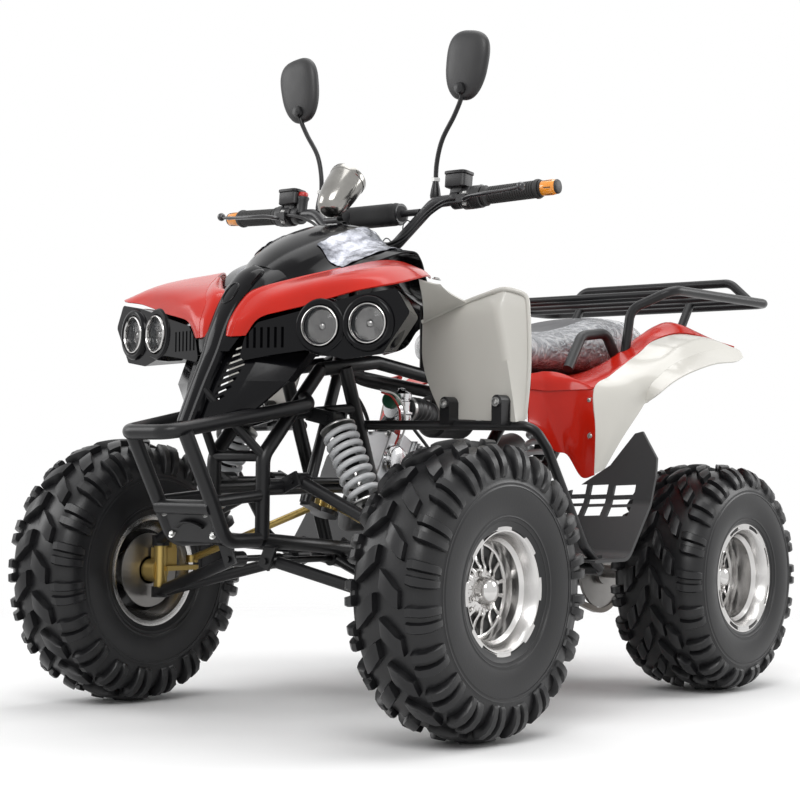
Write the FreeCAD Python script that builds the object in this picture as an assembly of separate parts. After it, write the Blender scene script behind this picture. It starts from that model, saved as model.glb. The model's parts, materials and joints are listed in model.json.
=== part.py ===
import FreeCAD, Part
import math
import os

# A sport quad bike with four lamps, a tubular rack and a plastic body, in millimetres.
# The nose points along -Y, the rider's left is +X and the wheels stand on z = 0.
# Inside the script y is counted from the front axle. The export moves the whole bike along Y
# so that the middle of its length is at y = 0.

V = FreeCAD.Vector

# Overall driving sizes. Tables of places are shares of the first three.
half_width = 500.0
wheelbase = 963.0
bar_height = 1000.0
front_reach = 368.0
rear_reach = 340.0

# Wheels and tyres
front_track = 842.0
front_tyre_radius = 256.5
front_tyre_width = 168.0
rear_track = 646.0
rear_tyre_radius = 237.5
rear_tyre_width = 214.0
rim_seat_radius = 101.5
rim_flange_radius = 114.0
rim_inset = 12.0
rim_wall = 4.0
rim_well_radius = 86.0
wheel_disc_thickness = 8.0
hub_radius = 40.0
hub_cap_radius = 31.0
hub_cap_length = 26.0
wheel_spoke_pairs = 8
spoke_spread_share = 0.45
spoke_width = 7.0
disc_place_share = 0.15

# Steering and front suspension
kingpin_inset = 91.0
kingpin_x = front_track / 2 - kingpin_inset
kingpin_radius = 13.0
kingpin_low = 226.0
kingpin_high = 305.0
spindle_radius = 11.0
steer_arm_length = 80.0
steer_arm_drop_x = 6.0
steer_arm_thickness = 9.0
pitman_length = 58.0
pitman_thickness = 9.0
column_radius = 11.0
column_foot_y = 50.0
column_foot_z = 395.0
column_head_y = 226.0
column_head_share = 0.872
column_head_z = column_head_share * bar_height
tie_rod_radius = 7.0
tie_rod_eye_radius = 12.0
arm_tube_radius = 11.0
arm_bush_radius = 14.0
arm_socket_radius = 17.0
arm_socket_height = 20.0
arm_bolt_radius = 6.0
shock_spring_radius = 33.0
shock_wire_radius = 5.0
shock_rod_radius = 9.0
shock_eye_radius = 13.0
shock_bolt_radius = 5.0
shock_turns = 9

# Frame, bumper and rack tubes
frame_radius = 13.0
cross_radius = 10.0
bumper_radius = 13.0
rack_radius = 10.0
rack_bar_radius = 7.0
bend_radius = 38.0

# Rear axle and drive
axle_radius = 15.0
carrier_radius = 36.0
carrier_half_length = 50.0
sprocket_x = 60.0
sprocket_radius = 80.0
sprocket_thickness = 7.0
drive_sprocket_radius = 30.0
chain_height = 11.0
chain_width = 13.0
disc_thickness = 4.0
rear_disc_radius = 82.0
rear_disc_x = -66.0
swing_tube_radius = 15.0
swing_bush_radius = 18.0

# Fits
fit = 0.05
seat_gap = 0.3
run_gap = 1.0
body_wall = 4.0
panel_lean = 0.3
overrun = 5.0


def spot(share):
    """A place given as shares of the half width, the wheelbase and the bar height."""
    return V(share[0] * half_width, share[1] * wheelbase, share[2] * bar_height)


def spots(shares):
    return [spot(share) for share in shares]


def outward(solid):
    """The solid with its faces turned outward."""
    return solid.reversed() if solid.Volume < 0 else solid


def mirrored(shape):
    return shape.mirror(V(0, 0, 0), V(1, 0, 0))


def join(shapes):
    if len(shapes) == 1:
        return shapes[0]
    return shapes[0].multiFuse(shapes[1:]).removeSplitter()


def both_sides(shape):
    return [shape, mirrored(shape)]


def unit(vector):
    return V(vector).normalize()


def rounded_wire(points, radius, closed=False):
    """Straight runs joined by tangent arcs."""
    count = len(points)
    edges = []
    starts = []
    ends = []
    for i in range(count):
        point = points[i]
        if not closed and i in (0, count - 1):
            starts.append(point)
            ends.append(point)
            continue
        before = points[(i - 1) % count]
        after = points[(i + 1) % count]
        way_in = unit(point - before)
        way_out = unit(after - point)
        turn = way_in.getAngle(way_out)
        room = 0.48 * min((point - before).Length, (after - point).Length)
        reach = min(radius * math.tan(turn / 2), room)
        starts.append(point - way_in * reach)
        ends.append(point + way_out * reach)
        if turn > 0.01:
            size = reach / math.tan(turn / 2)
            centre = point + unit(way_out - way_in) * (size / math.cos(turn / 2))
            middle = centre + unit(point - centre) * size
            edges.append((i, Part.Arc(starts[i], middle, ends[i]).toShape()))
    arcs = dict(edges)
    path = []
    for i in range(count):
        if i in arcs:
            path.append(arcs[i])
        if i < count - 1 or closed:
            path.append(Part.LineSegment(ends[i], starts[(i + 1) % count]).toShape())
    return Part.Wire(path)


def tube(points, radius, bend=bend_radius):
    """A round bar along the points, its corners bent on an arc."""
    if len(points) == 2:
        return Part.makeCylinder(radius, (points[1] - points[0]).Length, points[0], points[1] - points[0])
    path = rounded_wire(points, bend)
    ring = Part.Wire(Part.Circle(points[0], points[1] - points[0], radius).toShape())
    return outward(path.makePipeShell([ring], True, False))


def bar(start, end, radius):
    return Part.makeCylinder(radius, (end - start).Length, start, end - start)


def plate(points, thickness, bend=0):
    """A flat plate on a closed outline, thickened along its normal, centred on the outline."""
    wire = rounded_wire(points, bend, True) if bend else Part.makePolygon(points + [points[0]])
    face = Part.Face(wire)
    normal = face.normalAt(0, 0)
    face.translate(normal * (-thickness / 2))
    return outward(face.extrude(normal * thickness))


def outline_x(points, x_low, x_high, bend=0):
    """A side outline of (y, z) points carried from one x to another."""
    low = [V(x_low, y, z) for y, z in points]
    wire = rounded_wire(low, bend, True) if bend else Part.makePolygon(low + [low[0]])
    return outward(Part.Face(wire).extrude(V(x_high - x_low, 0, 0)))


def turned_x(profile, centre):
    """A solid turned about the X axis through centre, from (x, radius) points."""
    points = [V(x, 0, r) + centre for x, r in profile]
    face = Part.Face(Part.makePolygon(points + [points[0]]))
    return outward(face.revolve(centre, V(1, 0, 0), 360))


def turned(profile, foot, axis):
    """A solid turned about an axis from foot, from (distance, radius) points."""
    points = [V(r, 0, d) for d, r in profile]
    solid = Part.Face(Part.makePolygon(points + [points[0]])).revolve(V(0, 0, 0), V(0, 0, 1), 360)
    solid.Placement = FreeCAD.Placement(foot, FreeCAD.Rotation(V(0, 0, 1), axis))
    return outward(solid)


def creased_panel(rows, push):
    """A sheet with a soft line across each row and straight runs between rows."""
    lines = []
    for row in rows:
        curve = Part.BSplineCurve()
        curve.interpolate(row)
        lines.append(Part.Wire(curve.toShape()))
    strips = Part.makeLoft(lines, False, True).extrude(push).Solids
    return outward(join([outward(strip) for strip in strips]))


def up_to(rod, start, target):
    """The part of a rod that lies between its start and the piece it meets."""
    pieces = rod.cut(target).Solids
    point = Part.Vertex(start)
    return min(pieces, key=lambda piece: piece.distToShape(point)[0])


def block(low, high):
    return Part.makeBox(high.x - low.x, high.y - low.y, high.z - low.z, low)


# Wheels

def facets_solid(points, faces):
    """A closed solid of triangles, from a list of places and triples of their numbers."""
    sides = [Part.Face(Part.makePolygon([points[a], points[b], points[c], points[a]])) for a, b, c in faces]
    return outward(Part.Solid(Part.makeShell(sides)))


lug_count = 16
lug_depth = 15.0
lug_skew = 0.035
bead_shares = ((0.97, 0.42), (0.955, 0.66), (0.92, 0.86), (0.62, 1.0), (0.08, 1.0))
lug_shares = ((0.10, 1.0), (0.72, 0.97), (1.0, 0.68))


def tyre(centre, radius, width):
    """A carcass of flat facets that carries two staggered rows of shoulder lugs."""
    half = width / 2
    rim_half = half - rim_inset
    toe = rim_half - rim_wall - seat_gap
    carcass = radius - lug_depth - rim_seat_radius
    tread = radius - rim_seat_radius
    plain = [(toe, rim_seat_radius + fit), (toe, rim_flange_radius + seat_gap)]
    plain += [(x * half, rim_seat_radius + r * carcass) for x, r in bead_shares]
    lug = [(x * half, rim_seat_radius + r * tread) for x, r in lug_shares]
    sectors = 2 * lug_count
    step = 2 * math.pi / sectors
    points = []

    def ring_point(side, x, r, boundary):
        skew = lug_skew * x / half if r > rim_flange_radius + run_gap else 0
        nearest = lug_skew * lug_shares[0][0] if r > rim_flange_radius + run_gap else 0
        stretch = 1 / math.cos(step / 2 - nearest)
        angle = boundary * step - step / 2 + skew
        points.append(centre + V(side * x, math.sin(angle) * r * stretch, -math.cos(angle) * r * stretch))
        return len(points) - 1

    grid = {}
    for boundary in range(sectors):
        for side in (-1, 1):
            grid[boundary, side] = ([ring_point(side, x, r, boundary) for x, r in plain],
                                    [ring_point(side, x, r, boundary) for x, r in lug])
    faces = []
    foot = 3

    def strip(first, second, side):
        for i in range(len(first) - 1):
            corners = [first[i], first[i + 1], second[i + 1], second[i]]
            corners = corners[::-1] if side < 0 else corners
            faces.extend([(corners[0], corners[1], corners[2]), (corners[0], corners[2], corners[3])])

    def cap(line, side, way):
        turn = line[::-1] if side * way < 0 else line
        faces.extend([(turn[0], turn[i], turn[i + 1]) for i in range(1, len(turn) - 1)])

    for sector in range(sectors):
        after = (sector + 1) % sectors
        for side in (-1, 1):
            low, low_lug = grid[sector, side]
            high, high_lug = grid[after, side]
            if (sector + (side > 0)) % 2:
                strip(low, high, side)
                continue
            low_run = low[:foot + 1] + low_lug[::-1] + low[-1:]
            high_run = high[:foot + 1] + high_lug[::-1] + high[-1:]
            strip(low_run, high_run, side)
            cap([low[-1]] + low_lug + low[foot:-1], side, -1)
            cap([high[-1]] + high_lug + high[foot:-1], side, 1)
        crown = [grid[boundary, side][0][-1] for boundary, side in ((sector, 1), (sector, -1))]
        crown_after = [grid[boundary, side][0][-1] for boundary, side in ((after, 1), (after, -1))]
        strip(crown, crown_after, 1)
        bore = [grid[boundary, side][0][0] for boundary, side in ((sector, -1), (sector, 1))]
        bore_after = [grid[boundary, side][0][0] for boundary, side in ((after, -1), (after, 1))]
        strip(bore, bore_after, 1)
    return facets_solid(points, faces)


def rim(centre, width, face_side, bore_radius):
    """A pressed wheel: barrel with two flanges, a windowed disc and a hub with its cap."""
    half = width / 2 - rim_inset
    step = rim_seat_radius - rim_well_radius
    shelf = half - 3 * rim_wall
    outside = [
        (half, rim_flange_radius), (half - rim_wall, rim_flange_radius),
        (half - rim_wall, rim_seat_radius), (shelf, rim_seat_radius - fit),
        (shelf - step, rim_well_radius)]
    inside = [
        (half, rim_flange_radius - rim_wall), (half - rim_wall, rim_seat_radius - rim_wall),
        (shelf, rim_seat_radius - rim_wall), (shelf - step, rim_well_radius - rim_wall)]
    profile = outside + [(-x, r) for x, r in outside[::-1]]
    profile += [(-x, r) for x, r in inside] + inside[::-1]
    barrel = turned_x(profile, centre)
    disc_x = face_side * half * disc_place_share
    across = V(1, 0, 0)
    plate_start = centre + V(disc_x - wheel_disc_thickness / 2, 0, 0)
    disc = Part.makeCylinder(rim_well_radius - rim_wall / 2, wheel_disc_thickness, plate_start, across)
    window = rim_well_radius - 2 * rim_wall
    disc = disc.cut(Part.makeCylinder(window, wheel_disc_thickness, plate_start, across))
    for i in range(wheel_spoke_pairs):
        for way in (-1, 1):
            angle = 360 * (i + way * spoke_spread_share / 2) / wheel_spoke_pairs
            spoke = block(V(plate_start.x, centre.y - spoke_width / 2, centre.z),
                          V(plate_start.x + wheel_disc_thickness, centre.y + spoke_width / 2,
                            centre.z + rim_well_radius - 1.5 * rim_wall))
            spoke.rotate(centre, across, angle)
            disc = disc.fuse(spoke)
    hub_start = centre + V(disc_x - face_side * 2 * wheel_disc_thickness, 0, 0)
    hub = Part.makeCylinder(hub_radius, 3 * wheel_disc_thickness, hub_start, V(face_side, 0, 0))
    cap = Part.makeCylinder(hub_cap_radius, hub_cap_length + 3 * wheel_disc_thickness, hub_start,
                            V(face_side, 0, 0))
    wheel = join([barrel, disc, hub, cap])
    bore = Part.makeCylinder(bore_radius, 4 * wheel_disc_thickness, hub_start - V(face_side * overrun, 0, 0),
                             V(face_side, 0, 0))
    return wheel.cut(bore)


# Front corner

front_hub = V(front_track / 2, 0, front_tyre_radius)
disc_inset = 60.0
front_disc_radius = 72.0
spindle_reach = 14.0
caliper_width = 18.0
caliper_inner_radius = 44.0
caliper_outer_radius = 80.0


def front_rim():
    wheel = rim(front_hub, front_tyre_width, 1, spindle_radius + fit)
    carrier = Part.makeCylinder(hub_radius * 0.7, disc_inset, front_hub - V(disc_inset, 0, 0), V(1, 0, 0))
    disc = Part.makeCylinder(front_disc_radius, disc_thickness, front_hub - V(disc_inset, 0, 0), V(1, 0, 0))
    bore = Part.makeCylinder(spindle_radius + fit, 2 * disc_inset, front_hub - V(disc_inset + overrun, 0, 0),
                             V(1, 0, 0))
    return join([wheel, carrier, disc]).cut(bore)


def steer_ball():
    """Centre of the steering arm's eye, at the arm's upper face."""
    return V(kingpin_x - steer_arm_drop_x, steer_arm_length, (kingpin_low + kingpin_high) / 2)


def knuckle():
    """Kingpin post, stub axle, steering arm and brake caliper."""
    level = front_tyre_radius
    post = bar(V(kingpin_x, 0, kingpin_low), V(kingpin_x, 0, kingpin_high), kingpin_radius)
    stub = bar(V(kingpin_x, 0, level), front_hub + V(spindle_reach, 0, 0), spindle_radius)
    collar_end = front_hub.x - disc_inset - seat_gap
    collar = bar(V(kingpin_x, 0, level), V(collar_end, 0, level), 2 * spindle_radius)
    ball = steer_ball()
    arm = block(V(ball.x - kingpin_radius, 0, ball.z - steer_arm_thickness),
                V(ball.x + kingpin_radius, ball.y, ball.z))
    eye = Part.makeCylinder(kingpin_radius, steer_arm_thickness, ball - V(0, 0, steer_arm_thickness))
    bracket_end = collar_end - disc_thickness
    bracket_top = level + caliper_inner_radius
    bracket = block(V(kingpin_x, 0, level), V(bracket_end, caliper_inner_radius, bracket_top))
    slot_x = front_hub.x - disc_inset - run_gap
    slot = bar(V(slot_x, 0, level), V(slot_x + disc_thickness + 2 * run_gap, 0, level),
               front_disc_radius + 2 * run_gap)
    side = caliper_outer_radius * math.sqrt(0.5)
    low = side - caliper_width * 1.5
    middle = slot_x + disc_thickness / 2 + run_gap
    caliper = block(V(middle - caliper_width / 2, low, level + low),
                    V(middle + caliper_width / 2, side, level + side)).cut(slot)
    link = block(V(kingpin_x, low, level + low / 2), V(slot_x - run_gap, low + kingpin_radius, level + side))
    return join([post, stub, collar, arm, eye, bracket.cut(slot), caliper, link.cut(slot)])


def front_socket(z_face, up):
    return Part.makeCylinder(arm_socket_radius, arm_socket_height, V(kingpin_x, 0, z_face), V(0, 0, up))


# Places on the frame, for the left side, as shares of the half width, wheelbase and bar height
low_front_share = (0.120, -0.135, 0.332)
low_rail_shares = [
    low_front_share, (0.144, 0.093, 0.311), (0.170, 0.330, 0.262), (0.170, 0.500, 0.262),
    (0.172, 0.582, 0.300), (0.176, 0.862, 0.600)]
front_leg_shares = [low_front_share, (0.120, -0.135, 0.480), (0.120, 0.021, 0.640)]
top_rail_shares = [
    (0.120, 0.021, 0.640), (0.130, 0.180, 0.660), (0.160, 0.312, 0.640), (0.180, 0.640, 0.612),
    (0.180, 1.070, 0.640)]
mid_rail_shares = [(0.120, -0.135, 0.423), (0.130, 0.169, 0.429)]
stay_shares = [(0.150, 0.075, 0.645), (0.150, 0.211, 0.302)]
shock_rail_shares = [(0.120, -0.062, 0.555), (0.150, 0.103, 0.570)]
shock_top_share = (0.220, 0.003, 0.549)
shock_foot_share = (0.424, -0.005, 0.366)
lower_pivot_share = (0.090, 0.088, 0.293)
upper_pivot_share = (0.180, 0.068, 0.437)
swing_pivot_share = (0.0, 0.582, 0.300)
rear_shock_top_share = (0.0, 0.870, 0.603)
rear_shock_foot_share = (0.0, 0.805, 0.305)
step_tube_shares = [(0.170, 0.460, 0.262), (0.380, 0.460, 0.275), (0.790, 0.460, 0.275)]
seat_cross_share = (0.180, 0.665, 0.613)
rear_cross_share = (0.180, 1.060, 0.640)
low_cross_share = (0.144, 0.190, 0.290)
nerf_shares = [
    (0.150, 0.130, 0.540), (0.450, 0.205, 0.541), (0.790, 0.230, 0.539), (0.810, 0.260, 0.500),
    (0.800, 0.395, 0.320), (0.790, 0.460, 0.275)]
nerf_radius = 9.0
tab_shares = [(0.454, 0.200, 0.572), (0.690, 0.200, 0.574)]
tab_width = 22.0
tab_depth = 16.0
post_radius = 8.0
cowl_post_shares = ((0.120, -0.135, 0.480), (0.026, -0.245, 0.596))
console_post_shares = ((0.160, 0.312, 0.640), (0.160, 0.312, 0.840))
saddle_post_shares = (
    ((0.180, 0.760, 0.616), (0.180, 0.760, 0.720)),
    ((0.180, 1.020, 0.636), (0.180, 1.020, 0.740)))


def cross_bar(share, radius):
    place = spot(share)
    return bar(V(-place.x, place.y, place.z), place, radius)


def pivot_bolt(share, reach, radius):
    """A bolt along Y at a pivot, reaching past both arm bushes."""
    place = spot(share)
    return bar(V(place.x, -abs(place.y) - reach, place.z), V(place.x, abs(place.y) + reach, place.z), radius)


def hanger(place, rail_point, thickness, width):
    """A lug plate in the XZ plane that joins a pivot bolt to a rail."""
    way = unit(V(rail_point.x - place.x, 0, rail_point.z - place.z))
    side = V(way.z, 0, -way.x) * (width / 2)
    corners = [place + side - way * width / 2, V(rail_point.x, place.y, rail_point.z) + side,
               V(rail_point.x, place.y, rail_point.z) - side, place - side - way * width / 2]
    return plate(corners, thickness)


lug_thickness = 6.0
bearing_length = 60.0
bearing_radius = 17.0
lug_width = 26.0
bush_length = 30.0


def main_frame():
    rails = [tube(spots(shares), frame_radius)
             for shares in (low_rail_shares, front_leg_shares, top_rail_shares, mid_rail_shares, stay_shares)]
    rails.append(tube(spots(shock_rail_shares), cross_radius))
    rails.append(tube(spots(step_tube_shares), frame_radius))
    for share, aim in ((lower_pivot_share, 0.325), (upper_pivot_share, 0.424)):
        rails.append(pivot_bolt(share, bush_length / 2 + lug_thickness + overrun, arm_bolt_radius))
        place = spot(share)
        for y in (-place.y, place.y):
            end = y + math.copysign(bush_length / 2 + seat_gap + lug_thickness / 2, y)
            rails.append(hanger(V(place.x, end, place.z), V(spot(low_front_share).x, end, aim * bar_height),
                                lug_thickness, lug_width))
    eye = spot(shock_top_share)
    reach = shock_eye_radius + seat_gap + lug_thickness
    rails.append(bar(eye - V(0, reach + overrun, 0), eye + V(0, reach + overrun, 0), shock_bolt_radius))
    for way in (-1, 1):
        y = eye.y + way * (reach - lug_thickness / 2)
        rails.append(hanger(V(eye.x, y, eye.z), V(spot(shock_rail_shares[0]).x, y, eye.z + cross_radius),
                            lug_thickness, lug_width))
    rails.append(tube(spots(nerf_shares), nerf_radius, bend_radius))
    for share in tab_shares:
        place = spot(share)
        tab = block(V(place.x - tab_width / 2, place.y - tab_depth, nerf_shares[1][2] * bar_height),
                    V(place.x + tab_width / 2, place.y + tab_depth, place.z + tab_width / 2))
        rails.append(up_to(tab, V(place.x, place.y - 2 * tab_depth, place.z), flap_solid))
    for shares, target in ((cowl_post_shares, cowl_solid), (console_post_shares, console_solid),
                           (saddle_post_shares[0], saddle_solid), (saddle_post_shares[1], saddle_solid)):
        start, end = spots(shares)
        rails.append(up_to(bar(start, end, post_radius), start, target))
    half = join(rails)
    crosses = [cross_bar(share, cross_radius) for share in (
        low_front_share, front_leg_shares[1], shock_rail_shares[0], rear_shock_top_share_wide(),
        seat_cross_share, rear_cross_share, low_cross_share, low_rail_shares[4])]
    middle = column_point(0.60)
    head = bar(middle, spot(top_rail_shares[1]), cross_radius)
    frame = join([half, mirrored(half)] + crosses + both_sides(head) + [column_bearing()])
    return frame.cut(bar(column_point(0), column_point(1), column_radius + fit))


def column_bearing():
    """The sleeve that carries the steering column at the head of the frame."""
    middle = column_point(0.60)
    way = unit(column_point(1) - column_point(0))
    half = way * (bearing_length / 2)
    return bar(middle - half, middle + half, bearing_radius)


def rear_shock_top_share_wide():
    return (low_rail_shares[-1][0], rear_shock_top_share[1], rear_shock_top_share[2])


def column_point(share):
    """A point on the steering column, from its foot at 0 to its clamp at 1."""
    foot = V(0, column_foot_y, column_foot_z)
    head = V(0, column_head_y, column_head_z)
    return foot + (head - foot) * share


# Arms and shock absorbers

def wishbone(pivot_share, socket_face, up):
    """An A arm: two bushes, two tubes and the socket over or under the kingpin."""
    pivot = spot(pivot_share)
    shapes = [front_socket(socket_face, up)]
    middle = V(kingpin_x, 0, socket_face + up * arm_socket_height / 2)
    for y in (-pivot.y, pivot.y):
        bush = bar(V(pivot.x, y - bush_length / 2, pivot.z), V(pivot.x, y + bush_length / 2, pivot.z),
                   arm_bush_radius)
        shapes += [bush, bar(V(pivot.x, y, pivot.z), middle + V(0, math.copysign(arm_tube_radius / 2, y), 0),
                             arm_tube_radius)]
    arm = join(shapes)
    bore = pivot_bolt(pivot_share, bush_length, arm_bolt_radius + fit)
    face = Part.makeCylinder(2 * arm_socket_radius, 2 * arm_socket_height, V(kingpin_x, 0, socket_face),
                             V(0, 0, -up))
    return arm.cut(bore).cut(face)


def lower_arm():
    return wishbone(lower_pivot_share, kingpin_low - seat_gap, -1)


def upper_arm():
    arm = wishbone(upper_pivot_share, kingpin_high + seat_gap, 1)
    foot = spot(shock_foot_share)
    room = V(0, shock_eye_radius + seat_gap, 0)
    arm = arm.cut(bar(foot - room, foot + room, shock_eye_radius + overrun))
    reach = arm_tube_radius * 3
    bolt = bar(foot - V(0, reach, 0), foot + V(0, reach, 0), shock_bolt_radius)
    return join([arm, bolt])


def shock(top, foot, top_bore, foot_bore, axis_way, spring_radius):
    """Eyes, rod, damper body and a coil drawn as one turned solid with a groove between turns."""
    length = (top - foot).Length
    way = unit(top - foot)
    gap_low = 3.6 * shock_eye_radius
    gap_high = 2.2 * shock_eye_radius
    pitch = (length - gap_low - gap_high) / shock_turns
    profile = [(0, 0), (0, shock_rod_radius), (gap_low - shock_wire_radius, shock_rod_radius)]
    profile.append((gap_low - shock_wire_radius, spring_radius))
    for turn in range(shock_turns):
        start = gap_low + turn * pitch
        profile += [(start, spring_radius), (start + pitch * 0.45, spring_radius),
                    (start + pitch * 0.55, spring_radius - 2 * shock_wire_radius),
                    (start + pitch * 0.9, spring_radius - 2 * shock_wire_radius)]
    last = gap_low + shock_turns * pitch
    profile += [(last, spring_radius), (last + shock_wire_radius, spring_radius),
                (last + shock_wire_radius, shock_rod_radius), (length, shock_rod_radius), (length, 0)]
    body = turned(profile, foot, way)
    shapes = [body]
    for place in (top, foot):
        half = axis_way * shock_eye_radius
        shapes.append(bar(place - half, place + half, shock_eye_radius))
    whole = join(shapes)
    for place, bore in ((top, top_bore), (foot, foot_bore)):
        half = axis_way * (4 * shock_eye_radius)
        whole = whole.cut(bar(place - half, place + half, bore + fit))
    return whole


def front_shock():
    top = spot(shock_top_share)
    foot = spot(shock_foot_share)
    return shock(top, foot, shock_bolt_radius, shock_bolt_radius, V(0, 1, 0), shock_spring_radius)


# Swingarm, rear axle, chain and rear shock

rear_hub = V(rear_track / 2, wheelbase, rear_tyre_radius)
axle_line = V(0, wheelbase, rear_tyre_radius)
swing_leg_x = 34.0
swing_cross_radius = 13.0
swing_lug_half = 20.0
shock_foot_radius = 8.0
drive_sprocket_share = (0.0, 0.470, 0.340)
chain_roller_gap = 1.5


def swing_arm():
    pivot = spot(swing_pivot_share)
    foot = spot(rear_shock_foot_share)
    across = V(1, 0, 0)
    half_bush = carrier_half_length
    shapes = [bar(pivot - across * half_bush, pivot + across * half_bush, swing_bush_radius),
              bar(axle_line - across * carrier_half_length, axle_line + across * carrier_half_length,
                  carrier_radius)]
    side = across * swing_leg_x
    drop = (foot.y - pivot.y) / (wheelbase - pivot.y)
    level = pivot.z + (rear_tyre_radius - pivot.z) * drop
    shapes += [bar(pivot + side, axle_line + side, swing_tube_radius),
               bar(pivot - side, axle_line - side, swing_tube_radius),
               bar(V(-side.x, foot.y, level), V(side.x, foot.y, level), swing_cross_radius)]
    for way in (-1, 1):
        x = way * (shock_eye_radius + seat_gap + lug_thickness / 2)
        corners = [V(x, foot.y - lug_width / 2, level), V(x, foot.y + lug_width / 2, level),
                   V(x, foot.y + lug_width / 2, foot.z + lug_width / 2),
                   V(x, foot.y - lug_width / 2, foot.z + lug_width / 2)]
        shapes.append(plate(corners, lug_thickness))
    shapes.append(bar(foot - across * swing_lug_half, foot + across * swing_lug_half, shock_foot_radius))
    arm = join(shapes)
    arm = arm.cut(bar(pivot - across * 2 * half_bush, pivot + across * 2 * half_bush, cross_radius + fit))
    reach = across * 2 * carrier_half_length
    return arm.cut(bar(axle_line - reach, axle_line + reach, axle_radius + fit))


def rear_shock():
    return shock(spot(rear_shock_top_share), spot(rear_shock_foot_share), cross_radius, shock_foot_radius,
                 V(1, 0, 0), shock_spring_radius)


def rear_axle():
    across = V(1, 0, 0)
    shaft = bar(V(-rear_hub.x, wheelbase, rear_tyre_radius), rear_hub, axle_radius)
    half = across * (sprocket_thickness / 2)
    sprocket_place = axle_line + V(sprocket_x, 0, 0)
    sprocket = bar(sprocket_place - half, sprocket_place + half, sprocket_radius)
    boss_end = carrier_half_length + run_gap
    boss = bar(axle_line + V(boss_end, 0, 0), sprocket_place + half * 4, carrier_radius * 0.8)
    disc_place = axle_line + V(rear_disc_x, 0, 0)
    disc = bar(disc_place, disc_place + across * disc_thickness, rear_disc_radius)
    disc_boss = bar(axle_line - V(boss_end, 0, 0), disc_place - half * 4, carrier_radius * 0.8)
    return join([shaft, sprocket, boss, disc, disc_boss])


def rear_rim():
    return rim(rear_hub, rear_tyre_width, 1, axle_radius + fit)


def chain():
    """One fixed loop round both sprockets."""
    rear = axle_line
    front = spot(drive_sprocket_share)
    rear_radius = sprocket_radius + chain_roller_gap
    front_radius = drive_sprocket_radius + seat_gap
    x_low = sprocket_x - chain_width / 2

    def loop(extra):
        line = front - rear
        span = math.hypot(line.y, line.z)
        lean = math.asin((rear_radius - front_radius) / span)
        heading = math.atan2(line.z, line.y)
        edges = []
        points = []
        for centre, size in ((rear, rear_radius + extra), (front, front_radius + extra)):
            for way in (1, -1):
                angle = heading + way * (math.pi / 2 - lean)
                points.append(V(x_low, centre.y + size * math.cos(angle), centre.z + size * math.sin(angle)))
        back = heading + math.pi
        far = V(x_low, rear.y + (rear_radius + extra) * math.cos(back),
                rear.z + (rear_radius + extra) * math.sin(back))
        near = V(x_low, front.y + (front_radius + extra) * math.cos(heading),
                 front.z + (front_radius + extra) * math.sin(heading))
        edges.append(Part.Arc(points[0], far, points[1]).toShape())
        edges.append(Part.LineSegment(points[1], points[3]).toShape())
        edges.append(Part.Arc(points[3], near, points[2]).toShape())
        edges.append(Part.LineSegment(points[2], points[0]).toShape())
        return outward(Part.Face(Part.Wire(edges)).extrude(V(chain_width, 0, 0)))
    return loop(chain_height).cut(loop(0))


# Engine

crank_share = (0.0, 0.431, 0.385)
head_share = (0.0, 0.256, 0.475)
case_half_width = 84.0
case_radius = 86.0
cylinder_half = 52.0
fin_half = 62.0
fin_pitch = 11.0
fin_thickness = 4.0
head_length = 62.0
head_cover_radius = 26.0
head_cover_proud = 12.0
round_cover_radius = 66.0
round_cover_proud = 20.0


def head_way():
    return unit(spot(head_share) - spot(crank_share))


def head_rise():
    """Square to the barrel, towards the inlet side of the head."""
    return head_way().cross(V(1, 0, 0))


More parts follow.
